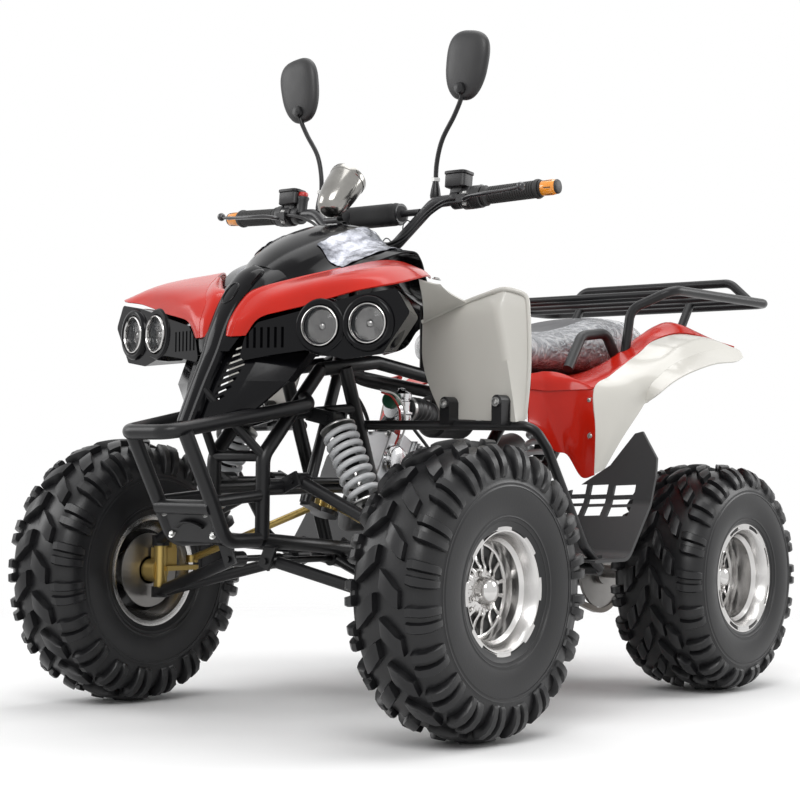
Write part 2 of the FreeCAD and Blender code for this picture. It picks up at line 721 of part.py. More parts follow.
def engine():
    """Horizontal single: rounded case, finned barrel, head with its round cover, drive sprocket."""
    crank = spot(crank_share)
    head = spot(head_share)
    way = unit(head - crank)
    rise = head_rise()
    case_back = crank + V(0, case_radius * 0.9, 0)
    case_bottom = spot(low_rail_shares[2]).z + frame_radius + seat_gap
    case = outline_x([(crank.y - case_radius * 0.7, case_bottom), (case_back.y, case_bottom),
                      (case_back.y, crank.z + case_radius * 0.55),
                      (crank.y - case_radius * 0.3, crank.z + case_radius),
                      (crank.y - case_radius, crank.z + case_radius * 0.4),
                      (crank.y - case_radius, crank.z - case_radius * 0.5)],
                     -case_half_width, case_half_width, case_radius * 0.2)
    shapes = [case]
    distance = (head - crank).Length
    fins_from = case_radius
    fins_to = distance - head_length / 2

    def square(start, length, half, depth):
        corner = crank + way * start - V(half, 0, 0) - rise * depth
        across = V(2 * half, 0, 0)
        up = rise * 2 * depth
        wire = Part.makePolygon([corner, corner + across, corner + across + up, corner + up, corner])
        return outward(Part.Face(wire).extrude(way * length))
    shapes.append(square(0, fins_to, cylinder_half, cylinder_half))
    place = fins_from
    while place < fins_to - fin_thickness:
        shapes.append(square(place, fin_thickness, fin_half, fin_half))
        place += fin_pitch
    shapes.append(square(fins_to, head_length, cylinder_half, fin_half))
    shapes.append(bar(head, head + V(cylinder_half + head_cover_proud, 0, 0), head_cover_radius))
    for side in (-1, 1):
        shapes.append(bar(crank, crank + V(side * (case_half_width + round_cover_proud), 0, 0),
                          round_cover_radius))
    sprocket = spot(drive_sprocket_share)
    shapes = [join(shapes).cut(bar(sprocket + V(sprocket_x - 2 * chain_width, 0, 0),
                                   sprocket + V(case_half_width + 2 * round_cover_proud, 0, 0),
                                   drive_sprocket_radius + 2 * chain_height))]
    channel = block(sprocket + V(sprocket_x - 2 * chain_width, 0, -drive_sprocket_radius - 3 * chain_height),
                    V(case_half_width + 2 * round_cover_proud, case_back.y + overrun,
                      sprocket.z + drive_sprocket_radius + 2 * chain_height))
    shapes = [shapes[0].cut(channel)]
    shapes.append(bar(V(0, sprocket.y, sprocket.z),
                      sprocket + V(sprocket_x + sprocket_thickness / 2, 0, 0), drive_sprocket_radius / 2))
    shapes.append(bar(sprocket + V(sprocket_x - sprocket_thickness / 2, 0, 0),
                      sprocket + V(sprocket_x + sprocket_thickness / 2, 0, 0), drive_sprocket_radius))
    return join(shapes)


carburettor_share = (0.070, 0.300, 0.575)
bowl_radius = 21.0
bowl_height = 44.0
intake_radius = 17.0
airbox_radius = 44.0
airbox_share = (0.0, 0.470, 0.565)


def carburettor():
    centre = spot(carburettor_share)
    head = spot(head_share)
    box = spot(airbox_share)
    bowl = Part.makeCylinder(bowl_radius, bowl_height, centre - V(0, 0, bowl_height * 0.75))
    top = Part.makeCylinder(bowl_radius * 0.8, bowl_height * 0.8, centre)
    port = head + head_rise() * (fin_half + seat_gap)
    manifold = tube([port, port + head_rise() * intake_radius * 2, centre + V(0, 0, intake_radius / 2)],
                    intake_radius, intake_radius * 1.2)
    hose = tube([V(centre.x, centre.y, centre.z), V(centre.x, (centre.y + box.y) / 2, centre.z), box],
                intake_radius * 1.4, bend_radius)
    filter_can = bar(box - V(0, airbox_radius * 0.6, 0), box + V(0, airbox_radius * 1.6, 0), airbox_radius)
    return join([bowl, top, manifold, hose, filter_can])


exhaust_radius = 13.0
muffler_radius = 42.0
exhaust_shares = [(-0.236, 0.312, 0.345), (-0.244, 0.580, 0.350), (-0.300, 0.690, 0.455)]
muffler_shares = [(-0.300, 0.685, 0.450), (-0.300, 0.960, 0.500)]


def exhaust():
    side = V(-cylinder_half / 2, 0, 0)
    port = spot(head_share) - head_rise() * (fin_half + seat_gap) + side
    pipe = tube([port, port - head_rise() * 3 * exhaust_radius] + spots(exhaust_shares), exhaust_radius)
    start, end = spots(muffler_shares)
    can = bar(start, end, muffler_radius)
    tip = bar(end, end + unit(end - start) * muffler_radius, exhaust_radius)
    return join([pipe, can, tip])


# Front bodywork

cowl_shares = (
    ((0.0, -0.262, 0.540), (0.096, -0.231, 0.540), (0.124, -0.197, 0.540), (0.120, -0.156, 0.540)),
    ((0.0, -0.226, 0.610), (0.140, -0.197, 0.610), (0.270, -0.156, 0.610), (0.250, -0.114, 0.610)),
    ((0.0, -0.195, 0.660), (0.160, -0.166, 0.660), (0.300, -0.117, 0.660), (0.280, -0.073, 0.660)),
    ((0.0, -0.127, 0.750), (0.150, -0.099, 0.750), (0.250, -0.031, 0.750), (0.250, 0.060, 0.750)),
    ((0.0, -0.071, 0.800), (0.130, -0.042, 0.800), (0.250, 0.030, 0.800), (0.250, 0.100, 0.800)))
spine_width = 40.0
spine_height = 10.0
grille_slot_count = 8
grille_slot_height = 6.0
grille_low_share = (0.052, -0.240, 0.572)
grille_high_share = (0.052, -0.170, 0.664)
grille_low_reach_share = 0.098
grille_high_reach_share = 0.130
grille_rise = 14.0
lamp_inner_share = (0.402, -0.146, 0.704)
lamp_outer_share = (0.574, -0.120, 0.707)
lamp_radius = 37.0
lamp_depth = 42.0
bezel_width = 7.0
bezel_height = 4.0
pod_outline_shares = (
    (0.120, 0.686), (0.170, 0.713), (0.346, 0.733), (0.524, 0.755), (0.672, 0.766), (0.722, 0.724),
    (0.626, 0.655), (0.492, 0.646), (0.348, 0.663), (0.230, 0.656), (0.098, 0.645))
pod_corner = 9.0
pod_depth = 85.0
pod_taper_share = 0.84
vent_count = 6
vent_shares = (0.132, 0.262)
vent_low_share = 0.668
vent_high_share = 0.704
vent_width = 5.0
vent_depth = 14.0
trim_post_share = (0.440, -0.080, 0.850)


def mirrored_ring(shares):
    left = spots(shares)
    right = [V(-p.x, p.y, p.z) for p in left[:0:-1]]
    points = left + right
    return Part.makePolygon(points + [points[0]])


def shrunk(share, wall):
    """A cowl section point moved inward by the wall, opened at the back."""
    point = spot(share)
    x = max(point.x - wall * 1.2, 0)
    return V(x, point.y + wall * 1.5, point.z)


def lamp_way():
    inner = spot(lamp_inner_share)
    outer = spot(lamp_outer_share)
    across = unit(outer - inner)
    return V(across.y, -across.x, 0).normalize()


def beak():
    """The hollow shield between the lamps, open behind and below."""
    solid = Part.makeLoft([mirrored_ring(section) for section in cowl_shares], True, True)
    inner_rings = []
    for section in cowl_shares:
        left = [shrunk(share, body_wall) for share in section]
        left[-1] = left[-1] + V(0, 2 * overrun, 0)
        points = left + [V(-p.x, p.y, p.z) for p in left[:0:-1]]
        inner_rings.append(Part.makePolygon(points + [points[0]]))
    hollow = Part.makeLoft(inner_rings, True, True)
    hollow_low = hollow.copy()
    hollow_low.translate(V(0, 0, -overrun))
    hollow_high = hollow.copy()
    hollow_high.translate(V(0, overrun, overrun))
    return solid.cut(hollow).cut(hollow_low).cut(hollow_high)


def grille_slots():
    """Slanted slots through the beak on both sides of its spine."""
    low = spot(grille_low_share)
    high = spot(grille_high_share)
    slots = []
    for i in range(grille_slot_count):
        step = i / (grille_slot_count - 1)
        start = low + (high - low) * step
        reach = grille_low_reach_share + (grille_high_reach_share - grille_low_reach_share) * step
        width = reach * half_width - start.x
        up = V(0, 0, grille_slot_height)
        ends = V(width, 0, grille_rise)
        face = Part.Face(Part.makePolygon([start, start + ends, start + ends + up, start + up, start]))
        slot = face.extrude(V(0, 10 * body_wall, 0))
        slot.translate(V(0, -5 * body_wall, 0))
        slots += both_sides(slot)
    return Part.makeCompound(slots)


def spine():
    """The raised rib down the middle of the beak."""
    line = [spot(section[0]) for section in cowl_shares]
    front = [(p.y - spine_height, p.z) for p in line]
    back = [(p.y + body_wall / 2, p.z) for p in line[::-1]]
    return outline_x(front + back, -spine_width / 2, spine_width / 2)


def lamp_pod():
    """The housing of one pair of lamps, with its bezels, vents and the boss under the wing."""
    way = lamp_way()
    inner = spot(lamp_inner_share)
    outer = spot(lamp_outer_share)
    slope = (outer.y - inner.y) / (outer.x - inner.x)
    face = []
    for x_share, z_share in pod_outline_shares:
        x = x_share * half_width
        face.append(V(x, inner.y + slope * (x - inner.x), z_share * bar_height))
    middle = (inner + outer) * 0.5 - way * pod_depth
    back = [middle + (p - way * pod_depth - middle) * pod_taper_share for p in face]
    pod = outward(Part.makeLoft([rounded_wire(face, pod_corner, True), rounded_wire(back, pod_corner, True)],
                                True, True))
    for place in (inner, outer):
        pod = pod.fuse(bar(place + way * bezel_height, place - way * lamp_depth, lamp_radius + bezel_width))
    for place in (inner, outer):
        pod = pod.cut(bar(place + way * 2 * overrun, place - way * lamp_depth, lamp_radius + seat_gap))
    low_x, high_x = [share * half_width for share in vent_shares]
    for i in range(vent_count):
        x = low_x + (high_x - low_x) * i / (vent_count - 1)
        y = inner.y + slope * (x - inner.x)
        pod = pod.cut(block(V(x - vent_width / 2, y - vent_depth, vent_low_share * bar_height),
                            V(x + vent_width / 2, y + vent_depth, vent_high_share * bar_height)))
    post = spot(trim_post_share)
    boss = bar(V(post.x, post.y, inner.z + lamp_radius), V(post.x, post.y, post.z), post_radius)
    return pod.fuse(up_to(boss, V(post.x, post.y, inner.z), trim_solid))


def nose_cowl():
    """Beak, spine and lamp pods in one moulding."""
    shield = beak().cut(grille_slots()).fuse(spine())
    return join([shield] + both_sides(lamp_pod())).cut(trim_solid)


def headlamps():
    way = lamp_way()
    lamps = []
    for share in (lamp_inner_share, lamp_outer_share):
        place = spot(share)
        body = bar(place - way * (lamp_depth - seat_gap), place + way * (body_wall / 2), lamp_radius)
        lamps.append(body)
    return Part.makeCompound(lamps)


trim_shares = (
    ((0.120, -0.185, 0.691), (0.098, -0.193, 0.689), (0.074, -0.197, 0.688)),
    ((0.170, -0.178, 0.720), (0.132, -0.186, 0.719), (0.090, -0.190, 0.717)),
    ((0.256, -0.164, 0.731), (0.188, -0.170, 0.745), (0.110, -0.165, 0.753)),
    ((0.346, -0.151, 0.740), (0.254, -0.157, 0.759), (0.150, -0.145, 0.770)),
    ((0.524, -0.124, 0.762), (0.380, -0.127, 0.781), (0.220, -0.100, 0.791)),
    ((0.672, -0.102, 0.773), (0.510, -0.081, 0.799), (0.310, -0.032, 0.813)),
    ((0.676, -0.042, 0.787), (0.540, -0.021, 0.812), (0.380, 0.021, 0.828)),
    ((0.620, 0.021, 0.796), (0.524, 0.039, 0.815), (0.430, 0.057, 0.829)),
    ((0.524, 0.087, 0.800), (0.508, 0.089, 0.808), (0.490, 0.091, 0.814)))
trim_wall = 4.0


def front_trim():
    """The red wings that rise from the nose and sweep out over the lamps."""
    side = creased_panel([spots(row) for row in trim_shares], V(0, trim_wall * 0.7, -trim_wall * 0.7))
    return Part.makeCompound(both_sides(side))


flap_shares = (
    ((0.302, 0.213, 0.735), (0.494, 0.220, 0.768), (0.660, 0.224, 0.790), (0.736, 0.247, 0.776)),
    ((0.302, 0.213, 0.722), (0.500, 0.213, 0.745), (0.648, 0.213, 0.752), (0.746, 0.245, 0.742)),
    ((0.304, 0.213, 0.665), (0.520, 0.213, 0.680), (0.676, 0.213, 0.695), (0.752, 0.244, 0.690)),
    ((0.336, 0.213, 0.615), (0.534, 0.213, 0.618), (0.706, 0.213, 0.630), (0.750, 0.244, 0.628)),
    ((0.404, 0.213, 0.553), (0.546, 0.213, 0.550), (0.736, 0.213, 0.546), (0.734, 0.244, 0.549)))
flap_top_shares = (
    ((0.500, 0.070, 0.800), (0.502, 0.100, 0.797), (0.502, 0.131, 0.795)),
    ((0.410, 0.141, 0.767), (0.450, 0.156, 0.775), (0.502, 0.171, 0.781)),
    ((0.302, 0.216, 0.736), (0.400, 0.219, 0.753), (0.500, 0.223, 0.769)))


def front_fender():
    """The upright flap with its folded edges, and the web that ties it to the wing."""
    flap = creased_panel([spots(row) for row in flap_shares], V(0, body_wall, 0))
    web = creased_panel([spots(row) for row in flap_top_shares], V(0, 0, -body_wall))
    return join([flap, web.cut(trim_solid)])


console_line_shares = [
    (-0.090, 0.824, 0.250), (-0.030, 0.865, 0.370), (0.040, 0.900, 0.460), (0.113, 0.921, 0.500),
    (0.150, 0.908, 0.490), (0.180, 0.870, 0.470), (0.230, 0.835, 0.430), (0.350, 0.802, 0.400),
    (0.490, 0.762, 0.400)]
console_cross_shares = [
    (-0.80, -0.064), (-0.52, -0.050), (-0.34, -0.014), (0.0, 0.0),
    (0.34, -0.014), (0.52, -0.050), (0.80, -0.064)]


clamp_swing_radius = 38.0


def console():
    """The dash and tank cover, with a hole for the steering column."""
    rows = [[spot((side * width, y, z + drop)) for side, drop in console_cross_shares]
            for y, z, width in console_line_shares]
    cover = creased_panel(rows, V(0, body_wall * panel_lean, body_wall))
    foot = column_point(0)
    head = column_point(1.2)
    return cover.cut(bar(foot, head, clamp_swing_radius + overrun))


# Saddle and rear bodywork

saddle_shares = (
    (0.490, 0.200, 0.765, 0.700), (0.640, 0.230, 0.750, 0.672), (0.830, 0.270, 0.775, 0.668),
    (1.000, 0.280, 0.800, 0.672), (1.090, 0.240, 0.790, 0.676))


def saddle():
    rings = []
    for y_share, width_share, top_share, low_share in saddle_shares:
        wide = spot((width_share, y_share, low_share))
        top = spot((width_share, y_share, top_share))
        ring = [V(-wide.x, wide.y, wide.z), V(wide.x, wide.y, wide.z), V(wide.x, top.y, top.z),
                V(-wide.x, top.y, top.z)]
        rings.append(rounded_wire(ring, (top.z - wide.z) * 0.4, True))
    return Part.makeLoft(rings, True, False)


rear_deck_shares = (
    ((-0.532, 0.640, 0.626), (-0.362, 0.629, 0.637), (-0.240, 0.623, 0.648),
     (0.000, 0.623, 0.650), (0.240, 0.623, 0.648), (0.362, 0.629, 0.637), (0.532, 0.640, 0.626)),
    ((-0.526, 0.741, 0.671), (-0.364, 0.727, 0.657), (-0.250, 0.727, 0.656),
     (0.000, 0.727, 0.655), (0.250, 0.727, 0.656), (0.364, 0.727, 0.657), (0.526, 0.741, 0.671)),
    ((-0.518, 0.831, 0.708), (-0.392, 0.831, 0.700), (-0.280, 0.831, 0.660),
     (0.000, 0.831, 0.660), (0.280, 0.831, 0.660), (0.392, 0.831, 0.700), (0.518, 0.831, 0.708)),
    ((-0.516, 0.899, 0.738), (-0.412, 0.919, 0.748), (-0.300, 0.909, 0.664),
     (0.000, 0.903, 0.662), (0.300, 0.909, 0.664), (0.412, 0.919, 0.748), (0.516, 0.899, 0.738)),
    ((-0.568, 0.984, 0.755), (-0.472, 0.982, 0.776), (-0.310, 0.987, 0.680),
     (0.000, 0.987, 0.664), (0.310, 0.987, 0.680), (0.472, 0.982, 0.776), (0.568, 0.984, 0.755)),
    ((-0.700, 1.080, 0.729), (-0.524, 1.090, 0.742), (-0.320, 1.101, 0.672),
     (0.000, 1.101, 0.664), (0.320, 1.101, 0.672), (0.524, 1.090, 0.742), (0.700, 1.080, 0.729)))
side_cover_shares = (
    ((0.360, 0.535, 0.622), (0.372, 0.524, 0.560), (0.388, 0.522, 0.552)),
    ((0.372, 0.556, 0.621), (0.388, 0.566, 0.560), (0.412, 0.587, 0.500)),
    ((0.388, 0.577, 0.620), (0.410, 0.597, 0.555), (0.436, 0.617, 0.490)),
    ((0.456, 0.615, 0.622), (0.480, 0.621, 0.548), (0.504, 0.617, 0.446)),
    ((0.534, 0.637, 0.623), (0.562, 0.623, 0.540), (0.568, 0.614, 0.450)))
rear_side_shares = (
    ((0.570, 0.615, 0.452), (0.578, 0.627, 0.457), (0.582, 0.643, 0.461)),
    ((0.564, 0.623, 0.540), (0.596, 0.654, 0.532), (0.608, 0.688, 0.523)),
    ((0.536, 0.639, 0.623), (0.604, 0.694, 0.612), (0.636, 0.754, 0.596)),
    ((0.530, 0.702, 0.651), (0.604, 0.732, 0.645), (0.644, 0.765, 0.630)),
    ((0.524, 0.764, 0.678), (0.610, 0.783, 0.668), (0.656, 0.795, 0.654)),
    ((0.520, 0.831, 0.706), (0.616, 0.847, 0.699), (0.668, 0.846, 0.681)),
    ((0.516, 0.896, 0.735), (0.624, 0.914, 0.727), (0.690, 0.927, 0.706)),
    ((0.570, 0.983, 0.752), (0.652, 1.002, 0.743), (0.710, 1.023, 0.722)),
    ((0.704, 1.076, 0.726), (0.724, 1.078, 0.721), (0.736, 1.076, 0.715)))
rear_lip_shares = (
    ((0.630, 0.755, 0.596), (0.646, 0.758, 0.598)),
    ((0.638, 0.766, 0.630), (0.700, 0.759, 0.618)),
    ((0.650, 0.796, 0.654), (0.730, 0.790, 0.642)),
    ((0.662, 0.847, 0.681), (0.760, 0.839, 0.664)),
    ((0.684, 0.928, 0.706), (0.780, 0.920, 0.684)),
    ((0.704, 1.024, 0.722), (0.774, 1.018, 0.693)),
    ((0.730, 1.077, 0.715), (0.756, 1.067, 0.704)))


def rear_fender():
    """The deck under the rack with a cover on each side that folds down beside the engine."""
    deck = creased_panel([spots(row) for row in rear_deck_shares], V(0, 0, -body_wall))
    cover = creased_panel([spots(row) for row in side_cover_shares], V(-body_wall * panel_lean, body_wall, 0))
    return join([deck] + both_sides(cover)).cut(rack_solid).cut(frame_solid)


def rear_side_panel():
    """The pale skin from the deck's ridge down to the wheel arch, with its turned-out lip."""
    push = V(-body_wall, body_wall * panel_lean, -body_wall * panel_lean)
    skin = creased_panel([spots(row) for row in rear_side_shares], push)
    lip = creased_panel([spots(row) for row in rear_lip_shares], V(0, 0, -body_wall))
    return up_to(join([skin, lip]), spot(rear_lip_shares[2][1]), deck_solid)


grab_shares = [(0.330, 0.700, 0.668), (0.320, 0.760, 0.740), (0.340, 0.840, 0.750), (0.350, 0.900, 0.668)]
grab_radius = 11.0


def grab_handle():
    loop = tube(spots(grab_shares), grab_radius, bend_radius * 0.8)
    return up_to(loop, spot(grab_shares[1]), deck_solid)


# Rack

rack_half_width_share = 0.600
rack_main_shares = [
    (0.0, 1.340, 0.840), (0.600, 1.340, 0.840), (0.600, 0.900, 0.840), (0.440, 0.860, 0.800),
    (0.420, 0.850, 0.690)]
rack_hoop_shares = [(0.0, 1.340, 0.893), (0.400, 1.340, 0.893), (0.520, 1.340, 0.840)]
rack_bar_y_shares = (1.240, 1.140, 1.040, 0.960)
rack_leg_shares = [(0.180, 1.060, 0.640), (0.300, 1.110, 0.660), (0.300, 1.240, 0.840)]


def rear_rack():
    main = tube(spots(rack_main_shares), rack_radius)
    hoop = tube(spots(rack_hoop_shares), rack_radius)
    leg = tube(spots(rack_leg_shares), rack_radius)
    half = join([main, hoop, leg])
    bars = [cross_bar((rack_half_width_share, share, 0.840), rack_bar_radius) for share in rack_bar_y_shares]
    return join([half, mirrored(half)] + bars)


# Foot guards

guard_profile_shares = [(0.385, 0.0), (0.505, 0.0), (0.588, 0.104), (0.642, 0.252)]
guard_inner_share = 0.300
guard_outer_share = 0.860
guard_wall = 5.0
guard_top_shares = (
    (0.300, 0.392), (0.502, 0.423), (0.644, 0.470), (0.730, 0.533), (0.762, 0.537),
    (0.850, 0.484), (0.860, 0.450))
guard_slot_shares = ((0.484, 0.554), (0.574, 0.654), (0.682, 0.780))
guard_row_shares = ((0.370, 0.387), (0.393, 0.402), (0.411, 0.430))
guard_slot_rise_share = 0.05
guard_rib_count = 5
guard_rib_width = 8.0
guard_rib_height = 6.0


def foot_guard():
    """Floor and rear wall of one footwell, bent from one sheet, with a slotted shield and a ribbed floor."""
    floor = spot(step_tube_shares[-1]).z + frame_radius + seat_gap + guard_wall
    line = [V(0, y * wheelbase, floor + z * bar_height) for y, z in guard_profile_shares]
    back = [p + V(0, guard_wall, -guard_wall) for p in line[::-1]]
    wire = rounded_wire(line + back, bend_radius, True)
    face = Part.Face(wire)
    face.translate(V(guard_inner_share * half_width, 0, 0))
    inner = guard_inner_share * half_width
    outer = guard_outer_share * half_width
    sheet = outward(face.extrude(V(outer - inner, 0, 0)))
    deep = wheelbase
    top = [V(x * half_width, 0, z * bar_height) for x, z in guard_top_shares]
    lid = [V(outer + overrun, 0, top[-1].z), V(outer + overrun, 0, bar_height)]
    lid += [V(inner - overrun, 0, bar_height), V(inner - overrun, 0, top[0].z)]
    sheet = sheet.cut(Part.Face(Part.makePolygon(top + lid + [top[0]])).extrude(V(0, deep, 0)))
    for x_low, x_high in guard_slot_shares:
        for z_low, z_high in guard_row_shares:
            rise = guard_slot_rise_share * (x_high - x_low) * half_width
            left, right = x_low * half_width, x_high * half_width
            low, high = z_low * bar_height, z_high * bar_height
            corners = [V(left, 0, low), V(right, 0, low + rise), V(right, 0, high + rise), V(left, 0, high)]
            slot = Part.Face(Part.makePolygon(corners + [corners[0]])).extrude(V(0, deep, 0))
            sheet = sheet.cut(slot)
    start = line[0]
    run = line[1].y - start.y
    ribs = []
    for i in range(guard_rib_count):
        x = inner + (outer - inner) * (i + 1) / (guard_rib_count + 1)
        ribs.append(block(V(x - guard_rib_width / 2, start.y + run * 0.1, start.z - guard_wall / 2),
                          V(x + guard_rib_width / 2, start.y + run * 0.8, start.z + guard_rib_height)))
    return join([sheet] + ribs).cut(frame_solid)


# Bumper

bumper_hoop_shares = [
    (0.0, -0.369, 0.518), (0.110, -0.369, 0.518), (0.190, -0.050, 0.572), (0.140, -0.035, 0.585)]
bumper_post_shares = [(0.130, -0.340, 0.518), (0.130, -0.272, 0.400), (0.126, -0.235, 0.332),
                      (0.122, -0.148, 0.332)]
bumper_stay_shares = [(0.130, -0.272, 0.400), (0.124, -0.148, 0.410)]
bumper_cross_share = (0.130, -0.272, 0.390)
bumper_plate_shares = [(0.130, -0.272, 0.390), (-0.130, -0.272, 0.390), (-0.130, -0.240, 0.330),
                       (0.130, -0.240, 0.330)]


def front_bumper():
    half = join([tube(spots(bumper_hoop_shares), bumper_radius), tube(spots(bumper_post_shares), bumper_radius),
                 tube(spots(bumper_stay_shares), cross_radius)])
    cross = cross_bar(bumper_cross_share, bumper_radius)
    sheet = plate(spots(bumper_plate_shares), body_wall)
    return join([half, mirrored(half), cross, sheet]).cut(frame_solid)


# Handlebar and what it carries

bar_tube_radius = 11.0
bar_shares = [(0.0, 0.239, 0.884), (0.120, 0.239, 0.884), (0.300, 0.250, 0.965), (0.752, 0.275, 0.975)]
pad_radius = 20.0
pad_half_share = 0.150
cross_share = (0.240, 0.244, 0.948)
grip_radius = 16.0
grip_length = 120.0
switch_length = 45.0
switch_radius = 22.0
clamp_half = 26.0


def bar_line():
    points = spots(bar_shares)
    return [V(-p.x, p.y, p.z) for p in points[:0:-1]] + points


def handlebar():
    """Column, pitman arm, clamp, bar and padded cross piece."""
    column = bar(column_point(0), column_point(1), column_radius)
    way = unit(column_point(1) - column_point(0))
    back = unit(V(0, way.z, -way.y))
    foot = column_point(0)
    pivot = foot + back * pitman_length
    side = V(tie_rod_eye_radius, 0, 0)
    arm = plate([foot + side, pivot + side, pivot - side, foot - side], pitman_thickness)
    eye = Part.makeCylinder(pitman_eye_half + tie_rod_eye_radius, pitman_thickness,
                            pivot - way * (pitman_thickness / 2), way)
    head = column_point(1)
    clamp_back = clamp_half * 0.7
    grab = block(head - V(clamp_half, clamp_back, clamp_half), head + V(clamp_half, clamp_half, clamp_half))
    main = tube(bar_line(), bar_tube_radius, bend_radius)
    cross = cross_bar(cross_share, bar_tube_radius * 0.6)
    reach = spot((pad_half_share, cross_share[1], cross_share[2]))
    pad = bar(V(-reach.x, reach.y, reach.z), reach, pad_radius)
    return join([column, arm, eye, grab, main, cross, pad])


pitman_eye_half = 15.0


def bar_end(side):
    """End point of the bar and the way back along it, for one side."""
    end = spot(bar_shares[-1])
    before = spot(bar_shares[-2])
    way = unit(before - end)
    return V(side * end.x, end.y, end.z), V(side * way.x, way.y, way.z)


def sleeve(side, start, length, outer):
    end, way = bar_end(side)
    body = bar(end + way * start, end + way * (start + length), outer)
    return body.cut(bar(end - way * grip_length, end + way * (start + length + grip_length),
                        bar_tube_radius + fit))


def grip(side):
    return sleeve(side, 0, grip_length, grip_radius)


lever_radius = 5.0
lever_reach = 62.0
reservoir_size = 32.0


def controls(side):
    """Switch box, lever with its ball end and fluid reservoir."""
    box = sleeve(side, grip_length + seat_gap, switch_length, switch_radius)
    end, way = bar_end(side)
    start = end + way * (grip_length + switch_length / 2) - V(0, switch_radius * 0.8, 0)
    tip = end - V(0, lever_reach, 0)
    lever = tube([start, start - V(0, lever_reach * 0.6, 0), tip], lever_radius, bend_radius / 2)
    ball = Part.makeSphere(lever_radius * 1.8, tip)
    tank = end + way * (grip_length + switch_length * 0.7) + V(0, 0, switch_radius)
    body = block(tank - V(reservoir_size * 0.7, reservoir_size / 2, switch_radius * 0.4),
                 tank + V(reservoir_size * 0.7, reservoir_size / 2, reservoir_size))
    return join([box, lever, ball, body]).cut(bar_solid)


mirror_elbow_shares = [(0.290, 0.2595, 0.965), (0.290, 0.262, 1.060), (0.400, 0.262, 1.160)]
mirror_centre_share = (0.422, 0.265, 1.222)
mirror_half_width = 48.0
mirror_half_height = 68.0
mirror_thickness = 18.0
mirror_stem_radius = 5.0


def mirror_unit():
    stem = tube(spots(mirror_elbow_shares), mirror_stem_radius, bend_radius / 2)
    centre = spot(mirror_centre_share)
    ring = [centre + V(x * mirror_half_width, 0, z * mirror_half_height)
            for x, z in ((-1, 1), (1, 1), (0.7, -1), (-0.7, -1))]
    face = Part.Face(rounded_wire(ring, mirror_half_width * 0.9, True))
    head = face.extrude(V(0, mirror_thickness, 0))
    head.translate(V(0, -mirror_thickness / 2, 0))
    return join([stem, head]).cut(bar_solid)


indicator_radius = 15.0
indicator_length = 40.0


def indicator(side):
    end, way = bar_end(side)
    return bar(end - way * indicator_length, end - way * seat_gap, indicator_radius)


cup_low_share = (0.0, 0.103, 0.942)
cup_high_share = (0.0, 0.172, 1.016)
cup_radius = 35.0


def speedometer():
    low = spot(cup_low_share)
    high = spot(cup_high_share)
    way = unit(high - low)
    length = (high - low).Length
    cup = turned([(0, 0), (0, cup_radius * 0.5), (length * 0.3, cup_radius * 0.85),
                  (length * 0.6, cup_radius), (length, cup_radius), (length, 0)], low, way)
    head = column_point(1)
    stay = bar(low + way * (length * 0.5), head, bar_tube_radius * 0.6)
    return join([cup, stay]).cut(bar_solid)


# Tie rods

def tie_rod():
    ball = steer_ball()
    way = unit(column_point(1) - column_point(0))
    back = unit(V(0, way.z, -way.y))
    pivot = column_point(0) + back * pitman_length
    inner = V(pitman_eye_half, pivot.y, pivot.z)
    outer = ball + V(0, 0, tie_rod_eye_radius)
    return inner, outer


def tie_rod_solid():
    inner, outer = tie_rod()
    way = unit(column_point(1) - column_point(0))
    lift = way * (pitman_thickness / 2 + seat_gap)
    eye_in = bar(inner + lift, inner + lift + way * 3 * tie_rod_radius, tie_rod_eye_radius)
    start = inner + lift + way * 2 * tie_rod_radius
    end = outer
    rod = bar(start, end, tie_rod_radius)
    eye_out = Part.makeCylinder(tie_rod_eye_radius, 2 * tie_rod_radius, outer - V(0, 0, tie_rod_radius))
    return join([eye_in, rod, eye_out])


tail_lamp_share = (0.0, 1.101, 0.664)
tail_lamp_half = 60.0
tail_lamp_height = 34.0
tail_lamp_depth = 30.0


def tail_lamp():
    place = spot(tail_lamp_share) + V(0, tail_lamp_depth / 2 + seat_gap, 0)
    return block(place - V(tail_lamp_half, tail_lamp_depth / 2, tail_lamp_height / 2),
                 place + V(tail_lamp_half, tail_lamp_depth / 2, tail_lamp_height / 2))


# Export

middle_y = (wheelbase + rear_reach - front_reach) / 2

trim_solid = front_trim()
cowl_solid = nose_cowl()
saddle_solid = saddle()
console_solid = console().cut(saddle_solid).cut(trim_solid)
flap_solid = front_fender()
frame_solid = main_frame()
bumper_solid = front_bumper()
engine_solid = engine()
rack_solid = rear_rack().cut(frame_solid)
deck_solid = rear_fender()
bar_solid = handlebar()

nodes = {
    "main_frame": frame_solid,
    "engine": engine_solid,
    "front_bumper": bumper_solid,
    "carburettor": carburettor(),
    "exhaust": exhaust(),
    "swing_arm": swing_arm(),
    "rear_shock": rear_shock(),
    "chain": chain(),
    "nose_cowl": cowl_solid.cut(bumper_solid),
    "front_trim": trim_solid,
    "console": console_solid,
    "saddle": saddle_solid,
    "rear_fender": deck_solid,
    "rear_side_panels": Part.makeCompound(both_sides(rear_side_panel())),
    "grab_handles": Part.makeCompound(both_sides(grab_handle())),
    "rear_rack": rack_solid,
    "tail_lamp": tail_lamp().cut(deck_solid),
    "handlebar": bar_solid,
    "grips": Part.makeCompound([grip(-1), grip(1)]),
    "controls": Part.makeCompound([controls(-1), controls(1)]),
    "mirrors": Part.makeCompound(both_sides(mirror_unit())),
    "indicators": Part.makeCompound([indicator(-1), indicator(1)]),
    "speedometer": speedometer(),
    "rear_axle": rear_axle(),
}

